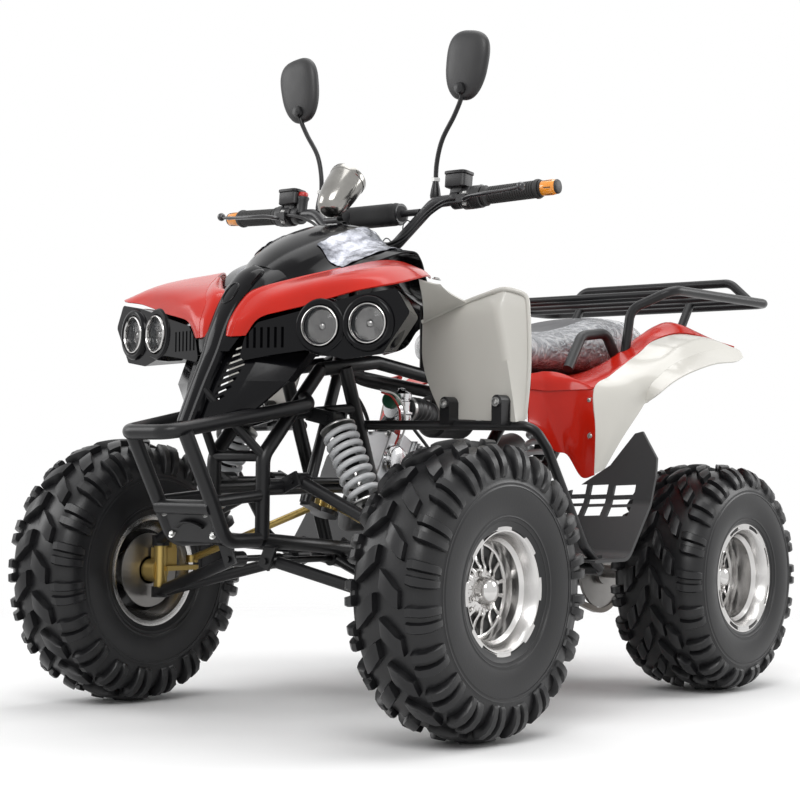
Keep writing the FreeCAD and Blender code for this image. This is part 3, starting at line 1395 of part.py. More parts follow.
left_nodes = {
    "lower_arm": lower_arm(),
    "upper_arm": upper_arm(),
    "front_shock": front_shock(),
    "front_fender": flap_solid,
    "foot_guard": foot_guard(),
    "headlamps": headlamps(),
    "knuckle": knuckle(),
    "tie_rod": tie_rod_solid(),
    "front_tyre": tyre(front_hub, front_tyre_radius, front_tyre_width),
    "front_rim": front_rim(),
    "rear_tyre": tyre(rear_hub, rear_tyre_radius, rear_tyre_width),
    "rear_rim": rear_rim(),
}
for name, shape in left_nodes.items():
    nodes[name + "_left"] = shape
    nodes[name + "_right"] = mirrored(shape)

os.makedirs("parts", exist_ok=True)
for name, shape in nodes.items():
    shape = shape.copy()
    shape.translate(V(0, -middle_y, 0))
    shape.exportStep("parts/" + name + ".step")
    print(name, shape.isValid(), len(shape.Solids), round(shape.Volume / 1000, 1), shape.BoundBox)
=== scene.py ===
"""The looks of a small sport quad bike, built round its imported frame."""

import json
import math
import random

import bpy
import bmesh
from mathutils import Matrix, Vector


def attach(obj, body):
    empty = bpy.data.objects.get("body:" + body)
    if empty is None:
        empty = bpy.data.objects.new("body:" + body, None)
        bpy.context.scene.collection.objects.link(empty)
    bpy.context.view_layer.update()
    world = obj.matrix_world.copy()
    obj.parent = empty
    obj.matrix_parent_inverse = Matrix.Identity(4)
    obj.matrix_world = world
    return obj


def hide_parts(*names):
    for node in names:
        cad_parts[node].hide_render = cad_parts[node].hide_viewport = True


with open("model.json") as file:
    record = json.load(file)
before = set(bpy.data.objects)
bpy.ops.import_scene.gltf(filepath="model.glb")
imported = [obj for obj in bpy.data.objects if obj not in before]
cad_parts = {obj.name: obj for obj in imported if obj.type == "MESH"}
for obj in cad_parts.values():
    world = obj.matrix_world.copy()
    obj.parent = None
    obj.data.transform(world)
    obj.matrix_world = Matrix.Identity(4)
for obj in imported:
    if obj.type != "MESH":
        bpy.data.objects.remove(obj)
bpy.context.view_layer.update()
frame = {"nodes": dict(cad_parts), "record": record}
nodes = frame["nodes"]
slot_of = {entry["node"]: entry["material_slot"] for entry in frame["record"]["subparts"]}

# Places are written as on the bike: millimetres, with y counted from the front axle

mm = 0.001
middle_y = 467.5


def at(x, y, z):
    return Vector((x * mm, (y - middle_y) * mm, z * mm))


# Materials

materials = {}


class Shader:
    """A material's node tree with a few short ways to add to it."""

    def __init__(self, name):
        materials[name] = self.material = bpy.data.materials.new(name)
        self.material.use_nodes = True
        self.tree = self.material.node_tree
        self.surface = self.tree.nodes["Principled BSDF"]
        self.place = self.tree.nodes.new("ShaderNodeTexCoord").outputs["Object"]

    def node(self, kind, **values):
        made = self.tree.nodes.new(kind)
        for key, value in values.items():
            made.inputs[key].default_value = value
        return made

    def link(self, start, end):
        self.tree.links.new(start, end)

    def drive(self, socket, output):
        self.link(output, self.surface.inputs[socket])

    def noise(self, scale, detail=4.0):
        made = self.node("ShaderNodeTexNoise", Scale=scale, Detail=detail, Roughness=0.55)
        self.link(self.place, made.inputs["Vector"])
        return made.outputs["Fac"]

    def ramp(self, factor, stops):
        made = self.tree.nodes.new("ShaderNodeValToRGB")
        elements = made.color_ramp.elements
        while len(elements) < len(stops):
            elements.new(0.5)
        for element, (position, colour) in zip(elements, stops):
            element.position = position
            element.color = (*colour, 1.0)
        self.link(factor, made.inputs["Fac"])
        return made.outputs["Color"]

    def spread(self, factor, low, high):
        made = self.node("ShaderNodeMapRange")
        made.inputs["To Min"].default_value = low
        made.inputs["To Max"].default_value = high
        self.link(factor, made.inputs["Value"])
        return made.outputs["Result"]

    def bump(self, height, strength, distance):
        made = self.node("ShaderNodeBump", Strength=strength, Distance=distance)
        self.link(height, made.inputs["Height"])
        self.link(made.outputs["Normal"], self.surface.inputs["Normal"])

    def put(self, **values):
        for key, value in values.items():
            self.surface.inputs[key.replace("_", " ")].default_value = value


def shade(colour, share):
    return tuple(channel * share for channel in colour)


def finish(name, colour, rough, metal=0.0, mottle=(9.0, 0.85), grain=(420.0, 0.12, 0.0003), coat=0.0,
           swing=0.06, shine=0.5):
    """A surface with uneven colour, uneven gloss and a fine grain.

    Mottle is (scale, share of the colour where it is darkest). Grain is (scale, strength, height in metres).
    """
    shader = Shader(name)
    tone = shader.noise(mottle[0])
    shader.drive("Base Color", shader.ramp(tone, [(0.3, shade(colour, mottle[1])), (0.7, colour)]))
    shader.drive("Roughness", shader.spread(shader.noise(38.0), rough - swing, rough + swing))
    shader.bump(shader.noise(grain[0], 2.0), grain[1], grain[2])
    shader.put(Metallic=metal, Specular_IOR_Level=shine, Coat_Weight=coat, Coat_Roughness=0.06)


def clear_plastic(name, colour):
    """A clear moulded lens with faint waves."""
    shader = Shader(name)
    shader.drive("Base Color", shader.ramp(shader.noise(40.0), [(0.3, shade(colour, 0.96)), (0.7, colour)]))
    shader.drive("Roughness", shader.spread(shader.noise(60.0), 0.03, 0.06))
    shader.bump(shader.noise(90.0, 1.0), 0.05, 0.0003)
    shader.put(Alpha=0.2)


def crinkled_film(name):
    """Thin clear packing film with sharp creases, whose bumps catch the light and whose colour is painted near white
    along them as a painted highlight.
    """
    shader = Shader(name)
    warp = shader.node("ShaderNodeTexNoise", Scale=9.0, Detail=3.0)
    shader.link(shader.place, warp.inputs["Vector"])
    bend = shader.node("ShaderNodeVectorMath")
    bend.operation = "MULTIPLY_ADD"
    bend.inputs[1].default_value = (0.12, 0.12, 0.12)
    shader.link(warp.outputs["Color"], bend.inputs[0])
    shader.link(shader.place, bend.inputs[2])
    both = shader.node("ShaderNodeMath")
    both.operation = "ADD"
    cells = []
    for socket, scale in enumerate((34.0, 85.0)):
        made = shader.node("ShaderNodeTexVoronoi", Scale=scale)
        made.feature = "DISTANCE_TO_EDGE"
        shader.link(bend.outputs["Vector"], made.inputs["Vector"])
        shader.link(made.outputs["Distance"], both.inputs[socket])
        cells.append(made.outputs["Distance"])
    shader.bump(both.outputs["Value"], 0.9, 0.006)
    # Near white at the crease lines, grey between them: painted highlights on the clear film
    shader.drive("Base Color", shader.ramp(cells[0], [(0.0, (0.95, 0.96, 0.98)), (0.16, (0.55, 0.57, 0.6))]))
    shader.drive("Roughness", shader.spread(shader.noise(24.0), 0.12, 0.3))
    shader.drive("Alpha", shader.spread(shader.noise(14.0, 5.0), 0.15, 0.75))
    shader.put(Specular_IOR_Level=0.9)


def silver_film(name):
    """The same film where it lies flat on black plastic, with painted glints in its colour."""
    shader = Shader(name)
    # Random light patches over a dark ground: painted glints of the clear film
    shine = shader.ramp(shader.noise(26.0, 6.0), [(0.35, (0.07, 0.075, 0.09)), (0.65, (0.42, 0.43, 0.48))])
    shader.drive("Base Color", shine)
    shader.drive("Roughness", shader.spread(shader.noise(40.0), 0.1, 0.3))
    shader.put(Metallic=0.6)
    shader.bump(shader.noise(70.0, 6.0), 0.8, 0.004)


smooth_grain = (30.0, 0.02, 0.001)
finish("frame_black", (0.011, 0.011, 0.012), 0.32, shine=0.3, grain=(600.0, 0.2, 0.0002))
finish("engine_alloy", (0.52, 0.53, 0.54), 0.38, metal=0.9, grain=(300.0, 0.35, 0.0004))
finish("exhaust_steel", (0.03, 0.03, 0.03), 0.5)
finish("spring_grey", (0.56, 0.57, 0.58), 0.3, coat=0.3)
finish("chain_steel", (0.2, 0.18, 0.16), 0.42, metal=0.9)
finish("cowl_black", (0.004, 0.004, 0.005), 0.13, shine=0.16, grain=smooth_grain, swing=0.04)
finish("body_red", (0.52, 0.014, 0.005), 0.2, shine=0.22, coat=0.12, grain=smooth_grain, swing=0.04)
finish("body_white", (0.6, 0.585, 0.54), 0.2, shine=0.4, coat=0.2, mottle=(5.0, 0.94),
        grain=smooth_grain, swing=0.03)
finish("saddle_vinyl", (0.05, 0.05, 0.055), 0.42, grain=(300.0, 0.4, 0.0006))
finish("handle_black", (0.014, 0.014, 0.015), 0.46, grain=(500.0, 0.3, 0.0003))
finish("bar_black", (0.02, 0.02, 0.022), 0.32)
finish("grip_rubber", (0.014, 0.014, 0.014), 0.6)
finish("lens_red", (0.5, 0.015, 0.01), 0.1, coat=0.8)
finish("lens_amber", (0.85, 0.3, 0.02), 0.12, coat=0.8)
finish("lamp_glass", (0.75, 0.78, 0.8), 0.06, metal=0.7, coat=0.8)
finish("bright_chrome", (0.62, 0.61, 0.6), 0.12, metal=1.0, swing=0.04, grain=(60.0, 0.03, 0.0004))
finish("guard_black", (0.018, 0.018, 0.019), 0.5, grain=(400.0, 0.3, 0.0003))
finish("axle_steel", (0.3, 0.29, 0.28), 0.35, metal=0.9)
finish("zinc_gold", (0.5, 0.36, 0.12), 0.36, metal=0.85)
finish("tyre_rubber", (0.008, 0.008, 0.009), 0.36, shine=0.4, grain=(260.0, 0.3, 0.0005),
        mottle=(14.0, 0.7))
finish("rim_alloy", (0.72, 0.72, 0.73), 0.2, metal=1.0, grain=(200.0, 0.08, 0.0003))
finish("barrel_alloy", (0.62, 0.61, 0.6), 0.24, metal=1.0, mottle=(30.0, 0.9), grain=(700.0, 0.12, 0.0002))
finish("dial_chrome", (0.36, 0.35, 0.33), 0.17, metal=1.0, mottle=(14.0, 0.6))
# Near-black fill for the wheel slot floors and the bumper slot: painted shade
finish("dark_gap", (0.004, 0.004, 0.004), 0.6)
finish("dish_black", (0.006, 0.006, 0.007), 0.3, coat=0.3)
# Headlamp reflector made near black: painted shade inside the lamp bowls
finish("reflector", (0.035, 0.036, 0.04), 0.3, metal=1.0, mottle=(60.0, 0.3))
finish("bolt_zinc", (0.45, 0.45, 0.44), 0.34, metal=0.9)
finish("hose_black", (0.012, 0.012, 0.013), 0.4)
finish("cap_green", (0.01, 0.10, 0.05), 0.35, coat=0.2)
finish("wire_red", (0.5, 0.02, 0.01), 0.4)
finish("wire_white", (0.7, 0.7, 0.68), 0.4)
finish("dial_face", (0.02, 0.02, 0.022), 0.3)
finish("mirror_glass", (0.8, 0.82, 0.84), 0.04, metal=1.0, swing=0.01)
finish("strap_grey", (0.33, 0.34, 0.34), 0.45, metal=0.3)
finish("engine_dark", (0.06, 0.06, 0.062), 0.5, metal=0.4)
finish("cover_polished", (0.68, 0.68, 0.69), 0.2, metal=1.0, grain=(120.0, 0.1, 0.0003))
finish("lever_black", (0.02, 0.02, 0.022), 0.25, coat=0.4)
finish("button_red", (0.55, 0.02, 0.015), 0.3, coat=0.3)
finish("pad_cloth", (0.012, 0.012, 0.013), 0.75, grain=(900.0, 0.6, 0.0006))
clear_plastic("clear_lens", (0.05, 0.053, 0.058))
crinkled_film("crinkled_film")
silver_film("silver_film")

for name, node in nodes.items():
    node.data.materials.clear()
    node.data.materials.append(materials[slot_of[name]])

# Shapes


def angles(count, start=0.0):
    """Angles that share out a whole turn."""
    return [start + 2 * math.pi * i / count for i in range(count)]


def oval(count, wide, tall, bends=(1.0, 1.0)):
    """Pairs round an ellipse, squared off by powers below 1."""
    pairs = []
    for a in angles(count):
        c, s = math.cos(a), math.sin(a)
        pairs.append((wide * math.copysign(abs(c) ** bends[0], c), tall * math.copysign(abs(s) ** bends[1], s)))
    return pairs


def drum(low, high, radius):
    """The profile of a plain disc or rod."""
    return [(low, 0), (low, radius), (high, radius), (high, 0)]


def sleeve(low, high, inner, outer):
    """The profile of a ring or pipe, closed at its inner edge."""
    return [(low, inner), (low, outer), (high, outer), (high, inner), (low, inner)]


def run_along(line, closed=False):
    """The two directions square to a line at each of its points, without twist."""
    count = len(line)
    side = None
    frames = []
    for i, point in enumerate(line):
        before = line[i - 1] if i or closed else point
        after = line[(i + 1) % count] if closed or i + 1 < count else point
        way = (after - before).normalized()
        if side is None:
            side = Vector((0, 0, 1)) if abs(way.z) < 0.9 else Vector((1, 0, 0))
        side = (side - way * side.dot(way)).normalized()
        frames.append((side, way.cross(side)))
    return frames


def eased(points, steps=6, corners=()):
    """A smooth line through the points, with a sharp turn at the numbered corners."""
    points = [Vector(p) for p in points]
    line = []
    last = len(points) - 1
    for i in range(last):
        start, end = points[i], points[i + 1]
        before = points[i - 1] if i and i not in corners else start * 2 - end
        after = points[i + 2] if i + 1 < last and i + 1 not in corners else end * 2 - start
        for k in range(steps):
            t = k / steps
            line.append(0.5 * (2 * start + (end - before) * t + (2 * before - 5 * start + 4 * end - after) * t * t
                               + (3 * start - before - 3 * end + after) * t ** 3))
    return line + [points[-1]]


def refined(rows, across, along, folds=()):
    """A fine grid through coarse rows, with folds kept along the numbered columns."""
    wide = [eased(row, across, folds) for row in rows]
    columns = [eased(column, along) for column in zip(*wide)]
    return [list(row) for row in zip(*columns)]


least_radius = 0.02


class Form:
    """Points in millimetres and faces between them, gathered before they become a piece."""

    def __init__(self):
        self.points = []
        self.faces = []

    def add(self, points, faces):
        start = len(self.points)
        self.points += [Vector(p) for p in points]
        self.faces += [tuple(start + i for i in face) for face in faces]
        return self

    def join(self, other):
        return self.add(other.points, other.faces)

    def skin(self, rings, closed=False):
        """Faces from ring to ring, closed into a loop or capped at both ends."""
        count = len(rings[0])
        faces = []
        for r in range(len(rings) if closed else len(rings) - 1):
            low, high = r * count, (r + 1) % len(rings) * count
            faces += [(low + i, low + (i + 1) % count, high + (i + 1) % count, high + i) for i in range(count)]
        if not closed:
            faces.append(tuple(range(count))[::-1])
            faces.append(tuple(range((len(rings) - 1) * count, len(rings) * count)))
        return self.add([p for ring in rings for p in ring], faces)

    def tube(self, line, radius, sides=12, closed=False, flat=1.0):
        """A tube along a line. The radius may change from point to point."""
        line = [Vector(p) for p in line]
        radii = radius if isinstance(radius, list) else [radius] * len(line)
        rings = []
        for point, r, (side, up) in zip(line, radii, run_along(line, closed)):
            rings.append([point + side * math.cos(a) * r * flat + up * math.sin(a) * r for a in angles(sides)])
        return self.skin(rings, closed)

    def turned(self, profile, origin, way, sides=40):
        """A round body from (along, radius) pairs."""
        origin, way = Vector(origin), Vector(way).normalized()
        side = way.orthogonal().normalized()
        up = way.cross(side)
        return self.skin([[origin + way * along + (side * math.cos(a) + up * math.sin(a)) * max(radius, least_radius)
                           for a in angles(sides)] for along, radius in profile])

    def prism(self, outline, push):
        outline = [Vector(p) for p in outline]
        return self.skin([outline, [p + Vector(push) for p in outline]])

    def block(self, middle, size, turn=None):
        """A box round its middle, turned by a matrix where one is given."""
        half = Vector(size) / 2
        turn = turn or Matrix.Identity(3)
        low, high = [[Vector(middle) + turn @ Vector((x * half.x, y * half.y, z * half.z))
                      for x, y in ((-1, -1), (1, -1), (1, 1), (-1, 1))] for z in (-1, 1)]
        return self.skin([low, high])

    def bolt(self, place, way, radius, height=0.0):
        """A hexagon head with a domed top on a thin washer."""
        height = height or radius * 0.8
        washer_height, washer_radius = radius * 0.18, radius * 1.5
        self.turned(drum(0, washer_height, washer_radius), place, way, 20)
        return self.turned([(0, 0), (0, radius), (height * 0.85, radius), (height, radius * 0.8), (height, 0)],
                           place, way, 6)

    def shell(self, grid, wall, flip=False):
        """A sheet of even thickness below a grid of points, closed round its rim."""
        rows, columns = len(grid), len(grid[0])
        lower = []
        for r in range(rows):
            for c in range(columns):
                along = grid[min(r + 1, rows - 1)][c] - grid[max(r - 1, 0)][c]
                across = grid[r][min(c + 1, columns - 1)] - grid[r][max(c - 1, 0)]
                normal = across.cross(along)
                if normal.length < 1e-9:
                    normal = Vector((0, 0, 1))
                lower.append(grid[r][c] + normal.normalized() * (wall if flip else -wall))
        total = rows * columns
        faces = []
        for r in range(rows - 1):
            for c in range(columns - 1):
                a, b = r * columns + c, r * columns + c + 1
                faces.append((a, b, b + columns, a + columns))
                faces.append((total + a, total + a + columns, total + b + columns, total + b))
        rim = list(range(columns)) + [r * columns + columns - 1 for r in range(1, rows)]
        rim += [(rows - 1) * columns + c for c in range(columns - 2, -1, -1)]
        rim += [r * columns for r in range(rows - 2, 0, -1)]
        for a, b in zip(rim, rim[1:] + rim[:1]):
            faces.append((a, total + a, total + b, b))
        return self.add([p for row in grid for p in row] + lower, faces)

    def mirrored(self):
        other = Form()
        other.points = [Vector((-p.x, p.y, p.z)) for p in self.points]
        other.faces = [face[::-1] for face in self.faces]
        return other

    def both(self):
        return self.join(self.mirrored())


def placed(name, data):
    thing = bpy.data.objects.new(name, data)
    bpy.context.collection.objects.link(thing)
    return thing


def bare_piece(name, form):
    mesh = bpy.data.meshes.new(name)
    mesh.from_pydata([at(*p) for p in form.points], [], form.faces)
    work = bmesh.new()
    work.from_mesh(mesh)
    bmesh.ops.recalc_face_normals(work, faces=work.faces)
    work.to_mesh(mesh)
    work.free()
    return placed(name, mesh)


def shaded(piece, angle):
    mesh = piece.data
    mesh.polygons.foreach_set("use_smooth", [True] * len(mesh.polygons))
    mesh.set_sharp_from_angle(angle=math.radians(angle))


def carried(piece, slot, body, replaced, look=None):
    piece.data.materials.clear()
    piece.data.materials.append(materials[look or slot])
    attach(piece, body)
    if replaced:
        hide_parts(*replaced)
    return piece


def make(name, form, slot, body="chassis", replaced=(), look=None, edge=0.0, smooth=38.0, steps=2):
    """One piece from a form, with its edges rounded by `edge` millimetres."""
    piece = bare_piece(name, form)
    shaded(piece, smooth)
    if edge:
        bevel = piece.modifiers.new("edge", "BEVEL")
        bevel.width = edge * mm
        bevel.segments = steps
        bevel.limit_method = "ANGLE"
        bevel.angle_limit = math.radians(smooth)
        bevel.harden_normals = True
    return carried(piece, slot, body, replaced, look)


# Wheels

# Section from crown to bead: share of the half width, and share of the height above the bead
tyre_line = [(0, 1.0), (0.3, 0.995), (0.55, 0.975), (0.74, 0.925), (0.87, 0.84), (0.95, 0.72), (0.985, 0.56),
             (0.985, 0.4), (0.955, 0.25), (0.90, 0.13), (0.868, 0.075), (0.85, 0.03)]
# Raised rings on the sidewall: share along the section and height
sidewall_rings = ((0.60, 0.9), (0.632, 0.9), (0.89, 1.4), (0.93, 0.8))
bead_radius = 101.5
lug_depth = 15.0
rim_inset = 12.0
rim_parts = 8
web_share = 0.15


def round_place(centre, side, x, radius, angle):
    """A place at an angle round the axle, x outward from the wheel's middle."""
    return Vector(centre) + Vector((side * x, math.sin(angle) * radius, -math.cos(angle) * radius))


class Carcass:
    """The tyre's section, from the crown (share 0) to the bead (share 1)."""

    def __init__(self, centre, radius, width):
        self.centre = centre
        self.half = width / 2
        crown = radius - lug_depth
        line = eased([Vector((x * self.half, bead_radius + h * (crown - bead_radius), 0)) for x, h in tyre_line], 10)
        steps = [0.0]
        for before, after in zip(line, line[1:]):
            steps.append(steps[-1] + (after - before).length)
        self.length = steps[-1]
        self.line = line
        self.steps = steps

    def section(self, share):
        """Place and outward direction in the section at a share of its length."""
        goal = share * self.length
        i = max(1, next((k for k, step in enumerate(self.steps) if step >= goal), len(self.steps) - 1))
        part = (goal - self.steps[i - 1]) / max(self.steps[i] - self.steps[i - 1], 1e-6)
        start, end = self.line[i - 1], self.line[i]
        way = (end - start).normalized()
        return start.lerp(end, min(max(part, 0.0), 1.0)), Vector((-way.y, way.x, 0))

    def spot(self, side, share, angle, height):
        place, out = self.section(share)
        return round_place(self.centre, side, place.x + out.x * height, place.y + out.y * height, angle)


def carcass_form(carcass):
    turns, shares, ring_half = 144, 30, 0.011
    stations = [k / shares for k in range(shares + 1)]
    for place, _ in sidewall_rings:
        stations += [place - ring_half, place, place + ring_half]
    stations = sorted(set(stations))

    def height(share):
        for place, rise in sidewall_rings:
            if abs(share - place) < 0.001:
                return rise
        return 0.0

    rings = []
    for angle in angles(turns):
        right = [carcass.spot(-1, share, angle, height(share)) for share in stations[::-1]]
        left = [carcass.spot(1, share, angle, height(share)) for share in stations[1:]]
        rings.append(right + left)
    count = len(rings[0])
    faces = []
    for r in range(turns):
        low, high = r * count, (r + 1) % turns * count
        faces += [(low + i, low + i + 1, high + i + 1, high + i) for i in range(count - 1)]
        faces.append((low + count - 1, low, high, high + count - 1))
    return Form().add([p for ring in rings for p in ring], faces)


def lug(form, carcass, side, turn, stations, notch):
    """A tread block. Each station is (share along the section, turn offset, half width in degrees, height)."""
    rings = []
    for share, lean, half, height in stations:
        middle, wide = turn + math.radians(lean), math.radians(half)
        cut_height = height * 0.35 if notch else height
        right = [(0.16, cut_height), (0.288, height), (0.86, height), (0.97, height * 0.7), (1, -2.0)]
        rings.append([carcass.spot(side, share, middle + wide * across, rise)
                      for across, rise in [(-across, rise) for across, rise in right[::-1]] + right])
    form.skin(rings)


# Rings of tread blocks: (turn, unit of lean, unit of half width), all in degrees, whether notched, whether every
# other block is longer, and stations of (share along the section, lean, half width, height)
front_blocks = (
    (0.0, 1.0, 5.58, True, True, (
        (0.255, -0.8, 0.85, -2), (0.262, -0.8, 0.9, 12), (0.30, -0.6, 1, 15), (0.36, -0.2, 1, 14.5), (0.42, 0, 1, 12.5),
        (0.475, 0, 0.98, 10), (0.52, 0, 0.95, 7), (0.545, 0, 0.9, 4), (0.56, 0, 0.85, -2))),
    (7.56, 5.4, 18.0, False, False, (
        (0.022, -1, 0.19, -2), (0.03, -1, 0.21, 12), (0.06, -0.8, 0.23, 15), (0.12, -0.3, 0.24, 15),
        (0.18, 0.2, 0.22, 14.5), (0.215, 0.4, 0.2, 12), (0.222, 0.4, 0.18, -2))))
rear_blocks = (
    (0.0, 1.0, 6.0, True, False, (
        (0.31, -1.2, 0.85, -2), (0.318, -1.2, 0.9, 12), (0.35, -0.8, 1, 15), (0.41, -0.2, 1, 14.5), (0.47, 0, 1, 12),
        (0.52, 0, 0.97, 9), (0.555, 0, 0.92, 5), (0.575, 0, 0.85, -2))),
    (10.0, 4.4, 20.0, False, False, (
        (0.155, -0.6, 0.2, -2), (0.163, -0.6, 0.23, 12), (0.19, -0.3, 0.26, 15), (0.23, 0.3, 0.26, 15),
        (0.268, 0.6, 0.23, 12), (0.276, 0.6, 0.2, -2))),
    (1.0, 4.4, 20.0, False, False, (
        (0.012, -1, 0.18, -2), (0.02, -1, 0.2, 12), (0.05, -0.5, 0.25, 15), (0.10, 0.5, 0.25, 15), (0.132, 1, 0.2, 12),
        (0.14, 1, 0.18, -2))))
longer_from, longer_by = 0.5, 0.02


def tread(form, carcass, pitches, blocks):
    pitch = 360 / pitches
    for side in (-1, 1):
        for i in range(pitches):
            start = pitch * (i + (0.5 if side > 0 else 0.0))
            for turn, lean_unit, wide_unit, notch, longer, stations in blocks:
                more = longer_by if longer and i % 2 else 0.0
                lug(form, carcass, side, math.radians(start + turn),
                    [(share + (more if share > longer_from else 0.0), lean * lean_unit, wide * wide_unit, height)
                     for share, lean, wide, height in stations], notch)


def barrel_form(centre, side, half):
    """The bright barrel with its rounded lips, and eight shallow arc slots in the outer lip."""
    turns, slot_depth = 240, 3.2
    web = half * web_share
    profile = [(-half, 106), (-half, 113.5), (-half + 3, 114), (-half + 4, 102), (-half + 14, 99), (-half + 30, 84),
               (web - 16, 83), (half - 30, 84.5), (half - 14, 99), (half - 4.5, 101.5), (half - 4, 113.5),
               (half - 1.5, 114.0), (half, 112.6), (half + 0.2, 110.5), (half + 0.2, 109.5), (half + 0.2, 104.0),
               (half + 0.2, 103.0), (half - 0.4, 100.8), (half - 3, 98.6), (half - 8, 96.4), (half - 20, 91.5),
               (web + 12, 82.5), (web + 4, 80.5), (web + 1, 79.5), (web - 16, 79.5), (-half + 30, 80),
               (-half + 14, 95), (-half + 2, 98)]
    recessed = (14, 15)
    rings = []
    for i, angle in enumerate(angles(turns)):
        inside = 0.26 < (i * rim_parts / turns) % 1.0 < 0.74
        rings.append([round_place(centre, side, x - (slot_depth if inside and k in recessed else 0), r, angle)
                      for k, (x, r) in enumerate(profile)])
    return Form().skin(rings, closed=True)


def slot_floor_shade(centre, side, half):
    """Dark strips on the floors of the slots: painted shade in the recesses."""
    form, steps = Form(), 14
    for slot in range(rim_parts):
        form.skin([[round_place(centre, side, half + x, r, 2 * math.pi * (slot + 0.29 + 0.42 * k / steps) / rim_parts)
                    for x, r in ((-4.5, 104.6), (-2.2, 104.6), (-2.2, 108.9), (-4.5, 108.9))]
                   for k in range(steps + 1)])
    return form


def spokes_form(centre, side, half):
    """Pairs of spokes that run out from the hub, and the ring that carries their ends."""
    form = Form()
    web = half * web_share
    for pair in range(rim_parts):
        for way in (-1, 1):
            angle = 2 * math.pi * (pair + way * 0.225) / rim_parts
            flat = Vector((0, math.cos(angle), math.sin(angle)))
            depth = Vector((side * 6, 0, 0))
            rings = []
            for r, x, wide in ((30, 16, 3.4), (40, 15.5, 3.4), (46, 12, 3.4), (52, 8.5, 3.3), (66, 5.5, 3.2),
                               (76, 4.5, 3.6), (82, 4.0, 5.0)):
                middle = round_place(centre, side, web + x, r, angle)
                rings.append([middle + flat * wide * across + depth * deep for across, deep in
                              ((-1, -1), (-1, 0), (-0.6, 0.22), (0.6, 0.22), (1, 0), (1, -1))])
            form.skin(rings)
    ring = ((80.8, -2), (76.6, 0), (75.6, 3), (76.8, 5.4), (79.2, 6.2), (81.6, 5.0))
    return form.skin([[round_place(centre, side, web + x, r, angle) for r, x in ring] for angle in angles(96)],
                     closed=True)


def hub_form(centre, side, half):
    form = Form()
    web = half * web_share
    way = (side, 0, 0)
    form.turned([(web - 14, 0), (web - 14, 40), (web + 6, 40), (web + 12, 38.5), (web + 15, 35), (web + 16, 24),
                 (web + 20, 22.5), (web + 30, 21.5), (web + 36, 19), (web + 40, 13), (web + 42, 5), (web + 42.2, 0)],
                centre, way, 64)
    for angle in angles(4, 0.4):
        form.bolt(round_place(centre, side, web + 15, 30.5, angle), way, 5.6, 11)
    for angle in angles(8, 0.1):
        form.turned([(0, 0), (0, 4.4), (7, 4.2), (9, 2.6), (9.4, 0)],
                    round_place(centre, side, web + 6, 40, angle), way, 14)
    return form


def wheel(end, side, centre, radius, width, body, pitches, blocks):
    """A tyre with its tread, and the pieces of its rim."""
    name = "left" if side > 0 else "right"
    carcass = Carcass(centre, radius, width)
    form = carcass_form(carcass)
    tread(form, carcass, pitches, blocks)
    make(end + "_tyre_tread_" + name, form, "tyre_rubber", body, [end + "_tyre_" + name], smooth=32)
    half = width / 2 - rim_inset
    web = half * web_share
    way = (side, 0, 0)
    make(end + "_wheel_barrel_" + name, barrel_form(centre, side, half), "rim_alloy", body,
         [end + "_rim_" + name], "barrel_alloy", smooth=30)
    pieces = [
        ("_wheel_slots_", slot_floor_shade(centre, side, half), "dark_gap", 0.0, 38),
        ("_wheel_spokes_", spokes_form(centre, side, half), "bright_chrome", 0.0, 40),
        ("_wheel_hub_", hub_form(centre, side, half), "bright_chrome", 0.0, 40)]
    if end == "front":
        disc = Form().turned([(-60, 14), (-60, 72), (-56, 72), (-56, 14)], centre, way, 64)
        carrier = Form().turned([(-60, 12), (-60, 28), (web - 12, 34), (web - 12, 12)], centre, way, 40)
        pieces += [("_brake_disc_", disc, "axle_steel", 0.4, 38), ("_hub_carrier_", carrier, "axle_steel", 1.0, 38)]
    dish = Form().turned([(web - 13, 0), (web - 13, 79.5), (web - 3, 80), (web + 1, 79), (web - 1, 60), (web - 1, 0)],
                         centre, way, 72)
    for part, form, look, edge, smooth in pieces + [("_wheel_dish_", dish, "dish_black", 0.0, 38)]:
        make(end + part + name, form, "rim_alloy", body, (), look, edge, smooth)


for side, name in ((-1, "right"), (1, "left")):
    wheel("front", side, (side * 421.0, 0, 256.5), 256.5, 168.0, "front_wheel_" + name, 20, front_blocks)
    wheel("rear", side, (side * 323.0, 963.0, 237.5), 237.5, 214.0, "rear_axle", 18, rear_blocks)

# Plastic panels, in rows of places on the left half


def spots(*rows):
    return [[Vector(p) for p in row] for row in rows]


wing_rows = spots(
    ((60, -178, 691), (49, -186, 689), (37, -190, 688)), ((85, -171, 720), (66, -179, 719), (45, -183, 717)),
    ((128, -158, 731), (94, -164, 745), (55, -159, 753)), ((173, -145, 740), (127, -151, 759), (75, -140, 770)),
    ((262, -119, 762), (190, -122, 781), (110, -96, 791)), ((336, -98, 773), (255, -78, 799), (155, -31, 813)),
    ((338, -40, 787), (270, -20, 812), (190, 20, 828)), ((310, 20, 796), (262, 38, 815), (215, 55, 829)),
    ((262, 84, 800), (254, 86, 808), (245, 88, 814)))
flap_rows = spots(
    ((151, 205, 735), (247, 212, 768), (330, 216, 790), (368, 238, 776)),
    ((151, 205, 722), (250, 205, 745), (324, 205, 752), (373, 236, 742)),
    ((152, 205, 665), (260, 205, 680), (338, 205, 695), (376, 235, 690)),
    ((168, 205, 615), (267, 205, 618), (353, 205, 630), (375, 235, 628)),
    ((202, 205, 553), (273, 205, 550), (368, 205, 546), (367, 235, 549)))
web_rows = spots(
    ((250, 67, 800), (251, 96, 797), (251, 126, 795)), ((205, 136, 767), (225, 150, 775), (251, 165, 781)),
    ((151, 208, 736), (200, 211, 753), (250, 215, 769)))
